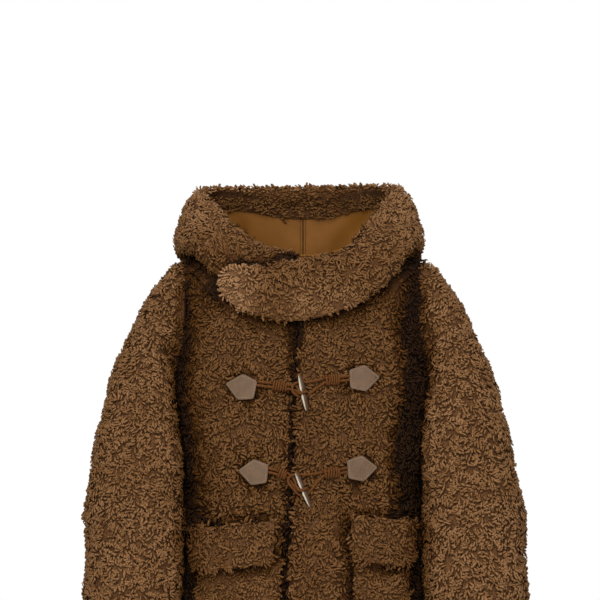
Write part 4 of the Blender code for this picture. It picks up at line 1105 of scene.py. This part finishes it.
def make_patch(name):
    """A five-sided patch of grained leather with softened edges and a stitched border."""
    work = merged_copy(name)
    bmesh.ops.dissolve_limit(work, angle_limit=math.radians(12), verts=work.verts, edges=work.edges)
    sharp = [e for e in work.edges if len(e.link_faces) == 2 and e.calc_face_angle(0) > math.radians(45)]
    bmesh.ops.bevel(
        work, geom=sharp, offset=EDGE_ROUNDING, segments=3, profile=0.5, affect="EDGES", clamp_overlap=True
    )
    bmesh.ops.triangulate(work, faces=work.faces)
    points, faces = arrays_of(work)
    work.free()
    points[:, 1] -= PATCH_FORWARD
    faces = in_order(faces)
    made = mesh_piece(name + "_leather", points, faces, [leather])
    made.data.set_sharp_from_angle(angle=math.radians(60))
    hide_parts(name)
    centres, normals, areas = face_facts(points, faces)
    front = normals[:, 1] < -0.5
    facing = unit((normals[front] * areas[front, None]).sum(axis=0))
    tree = BVHTree.FromPolygons(points.tolist(), faces.tolist())
    middle = (centres[front] * areas[front, None]).sum(axis=0) / areas[front].sum()
    right = unit(np.cross(facing, (0, 0, 1.0)))
    up = np.cross(right, facing)
    flat = np.stack([(points - middle) @ right, (points - middle) @ up], axis=1)
    order = outline_of(flat)
    inner = inset(flat[order], EDGE_INSET)
    loop = np.vstack([inner, inner[:1]])
    spots = middle + np.outer(loop[:, 0], right) + np.outer(loop[:, 1], up)
    dense = []
    for a, b in zip(spots, spots[1:]):
        count = max(2, int(np.linalg.norm(b - a) / STITCH_LINE_STEP))
        dense += [a + (b - a) * k / count for k in range(count)]
    dense.append(spots[-1])
    on_face = []
    for spot in dense:
        hit = tree.ray_cast(Vector(spot + facing * 0.02), Vector(-facing))
        on_face.append(hit[0] if hit[0] is not None else Vector(spot))
    rows = stitches(np.array(on_face), *PATCH_STITCH, facing)
    sewn = mesh_piece(name + "_stitches", *rows, [thread])


def outline_of(flat):
    """The corners of the convex outline round flat points, in order."""
    places = sorted(range(len(flat)), key=lambda k: (flat[k, 0], flat[k, 1]))

    def half(some):
        chain = []
        for k in some:
            while len(chain) > 1:
                a, b, c = flat[chain[-2]], flat[chain[-1]], flat[k]
                if (b[0] - a[0]) * (c[1] - a[1]) - (b[1] - a[1]) * (c[0] - a[0]) > 1e-9:
                    break
                chain.pop()
            chain.append(k)
        return chain

    return half(places)[:-1] + half(places[::-1])[:-1]


def inset(corners, by):
    """A convex outline drawn in towards its middle."""
    middle = corners.mean(axis=0)
    away = corners - middle
    reach = np.linalg.norm(away, axis=1)
    return middle + away * ((reach - by * 1.12) / reach)[:, None]


for name in ("patch_right_upper", "patch_left_upper", "patch_right_lower", "patch_left_lower"):
    make_patch(name)

# ---- hood lining
CREASES = (  # of the lining, as x, half width, depth
    (-0.098, 0.016, 0.0022),
    (0.105, 0.014, 0.0015),
)
SEAM_SINK = 0.0012
SEAM_HALF_WIDTH = 0.007
LINING_WAVES = ((22.0, 8, 0.0011), (60.0, 9, 0.0004))  # scale, seed and height
# Painted shadows on the lining: x and z of both ends, half width, depth of shade
LINING_SHADOWS = (
    (0.056, -0.006, 0.096, 0.038, 0.013, 0.110),
    (-0.103, 0.037, -0.092, 0.014, 0.005, 0.090),
    (-0.115, 0.010, -0.075, -0.015, 0.028, 0.060),
)
# a painted highlight on the lining's crest beside its seam
LINING_CREST = (0.014, 0.036, 0.030)  # x, half width and brightness


def lining_shade(points):
    """Painted shade: soft shadows where the lining bends away and darker towards its lower edge, and a
    painted highlight on a crest beside its seam.
    """
    places = points[:, [0, 2]]
    x, half, bright = LINING_CREST
    shade = 0.5 + bright * bell(places[:, 0] - x, half)
    for from_x, from_z, to_x, to_z, half, dark in LINING_SHADOWS:
        start, run = np.array([from_x, from_z]), np.array([to_x - from_x, to_z - from_z])
        share = np.clip((places - start) @ run / (run @ run), 0, 1)
        off = np.linalg.norm(places - start - share[:, None] * run, axis=1)
        shade -= dark * bell(off, half)
    return shade - 0.06 * ease(places[:, 1], -0.004, -0.030)


def make_lining(side):
    """Soft suede inside the hood, drawn in at its centre seam, with slow waves and a crease."""
    node = f"hood_lining_{side}"
    work = merged_copy(node)
    bmesh.ops.subdivide_edges(work, edges=work.edges, cuts=2, use_grid_fill=True)
    bmesh.ops.triangulate(work, faces=work.faces)
    work.verts.ensure_lookup_table()
    work.faces.ensure_lookup_table()
    points, faces = arrays_of(work)
    work.free()
    wave = sum(noise_at(points, scale, seed) * height for scale, seed, height in LINING_WAVES)
    for x, wide, deep in CREASES:
        wave -= deep * bell(points[:, 0] - x, wide)
    wave -= SEAM_SINK * bell(points[:, 0], SEAM_HALF_WIDTH)
    points = points + wall_side(points) * wave[:, None]
    made = mesh_piece(node + "_suede", points, faces, [lining_suede])
    # the lining carries its painted shadows and highlight
    carry_shade(made, lining_shade(points))
    made.data.set_sharp_from_angle(angle=math.radians(50))
    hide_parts(node)


def wall_side(points):
    """The way from the hood's lining into its hollow, level and towards its axis."""
    away = points - np.array([0.0, HOOD_AXIS_Y, 0.0])
    away[:, 2] = 0
    return -unit(away)


for side in ("left", "right"):
    make_lining(side)

# The centre seam: a welt over the join, and a row of stitches on each side of it
SEAM_LINE = np.array(
    [(0, 180.8, 28.4), (0, 188.6, 8.6), (0, 196.9, -11.8), (0, 206.5, -38.0), (0, 213.9, -64.5),
     (0, 219.5, -88.0), (0, 221.8, -108.1), (0, 216.3, -135.8)]
) / 1000
SEAM_OUT = (0.0, -0.93, -0.36)
SEAM_STITCH = (0.0024, 0.0012, 0.00035)
welt = rope_mesh(SEAM_LINE + np.array([0, -0.0002, 0]), 0.0009, 0, 1, sides=10, spacing=0.002, flat=0.7)
made = mesh_piece("lining_seam", *welt, [dark_thread])
rows = [stitches(SEAM_LINE + np.array([x, -0.0003, 0]), *SEAM_STITCH, SEAM_OUT) for x in (-0.0042, 0.0042)]
made = mesh_piece("lining_stitches", *joined(rows), [dark_thread])

# ---- floor, light and camera
FLOOR_BELOW = 0.03
low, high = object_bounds()
bpy.ops.object.select_all(action="DESELECT")
bpy.ops.mesh.primitive_circle_add(vertices=96, radius=1.0, fill_type="NGON",
                                  location=(0, 0, low.z - FLOOR_BELOW))
floor = bpy.context.object
floor.name = "floor"
pale, _, pale_shader = plain_material("pale_floor", 0.8)
pale_shader["Base Color"].default_value = (0.85, 0.85, 0.84, 1)
floor.data.materials.append(pale)

AMBIENT = 0.27
world = bpy.data.worlds.new("studio")
scene.world = world
world.use_nodes = True
sky = world.node_tree.nodes["Background"]
sky.inputs["Color"].default_value = (1, 1, 1, 1)
seen = wired(world.node_tree, "LightPath", "Is Camera Ray")
strength = wired(world.node_tree, "MapRange", "Result", {"Value": seen, "To Min": AMBIENT})
put(world.node_tree, strength, sky.inputs["Strength"])

# Light: name, place, size, watts
for name, place, size, watts in (
    ("key", (-0.3, -4.2, 1.3), 3.4, 198),
    ("top", (0.2, -1.6, 3.0), 1.8, 45),
    ("behind", (0.0, 3.4, 1.6), 2.4, 70),
):
    bpy.ops.object.light_add(type="AREA", location=place)
    lamp = bpy.context.object
    lamp.name = name
    lamp.data.size = size
    lamp.data.energy = watts
    lamp.rotation_euler = (Vector((0, 0, -0.3)) - Vector(place)).to_track_quat("-Z", "Y").to_euler()

scene.view_settings.view_transform = "Standard"
across = (PHOTO_PIXELS / 2 - NECK_BASE_PIXEL[0]) * METRES_PER_PIXEL
level = (NECK_BASE_PIXEL[1] - PHOTO_PIXELS / 2) * METRES_PER_PIXEL
bpy.ops.object.camera_add(
    location=(across, FRONT_PLANE_Y - CAMERA_DISTANCE, level), rotation=(math.pi / 2, 0, 0)
)
camera = bpy.context.object
camera.data.sensor_width = SENSOR * 1000
camera.data.lens = SENSOR * 1000 * CAMERA_DISTANCE / (PHOTO_PIXELS * METRES_PER_PIXEL)
camera.data.clip_end = 60
scene.camera = camera
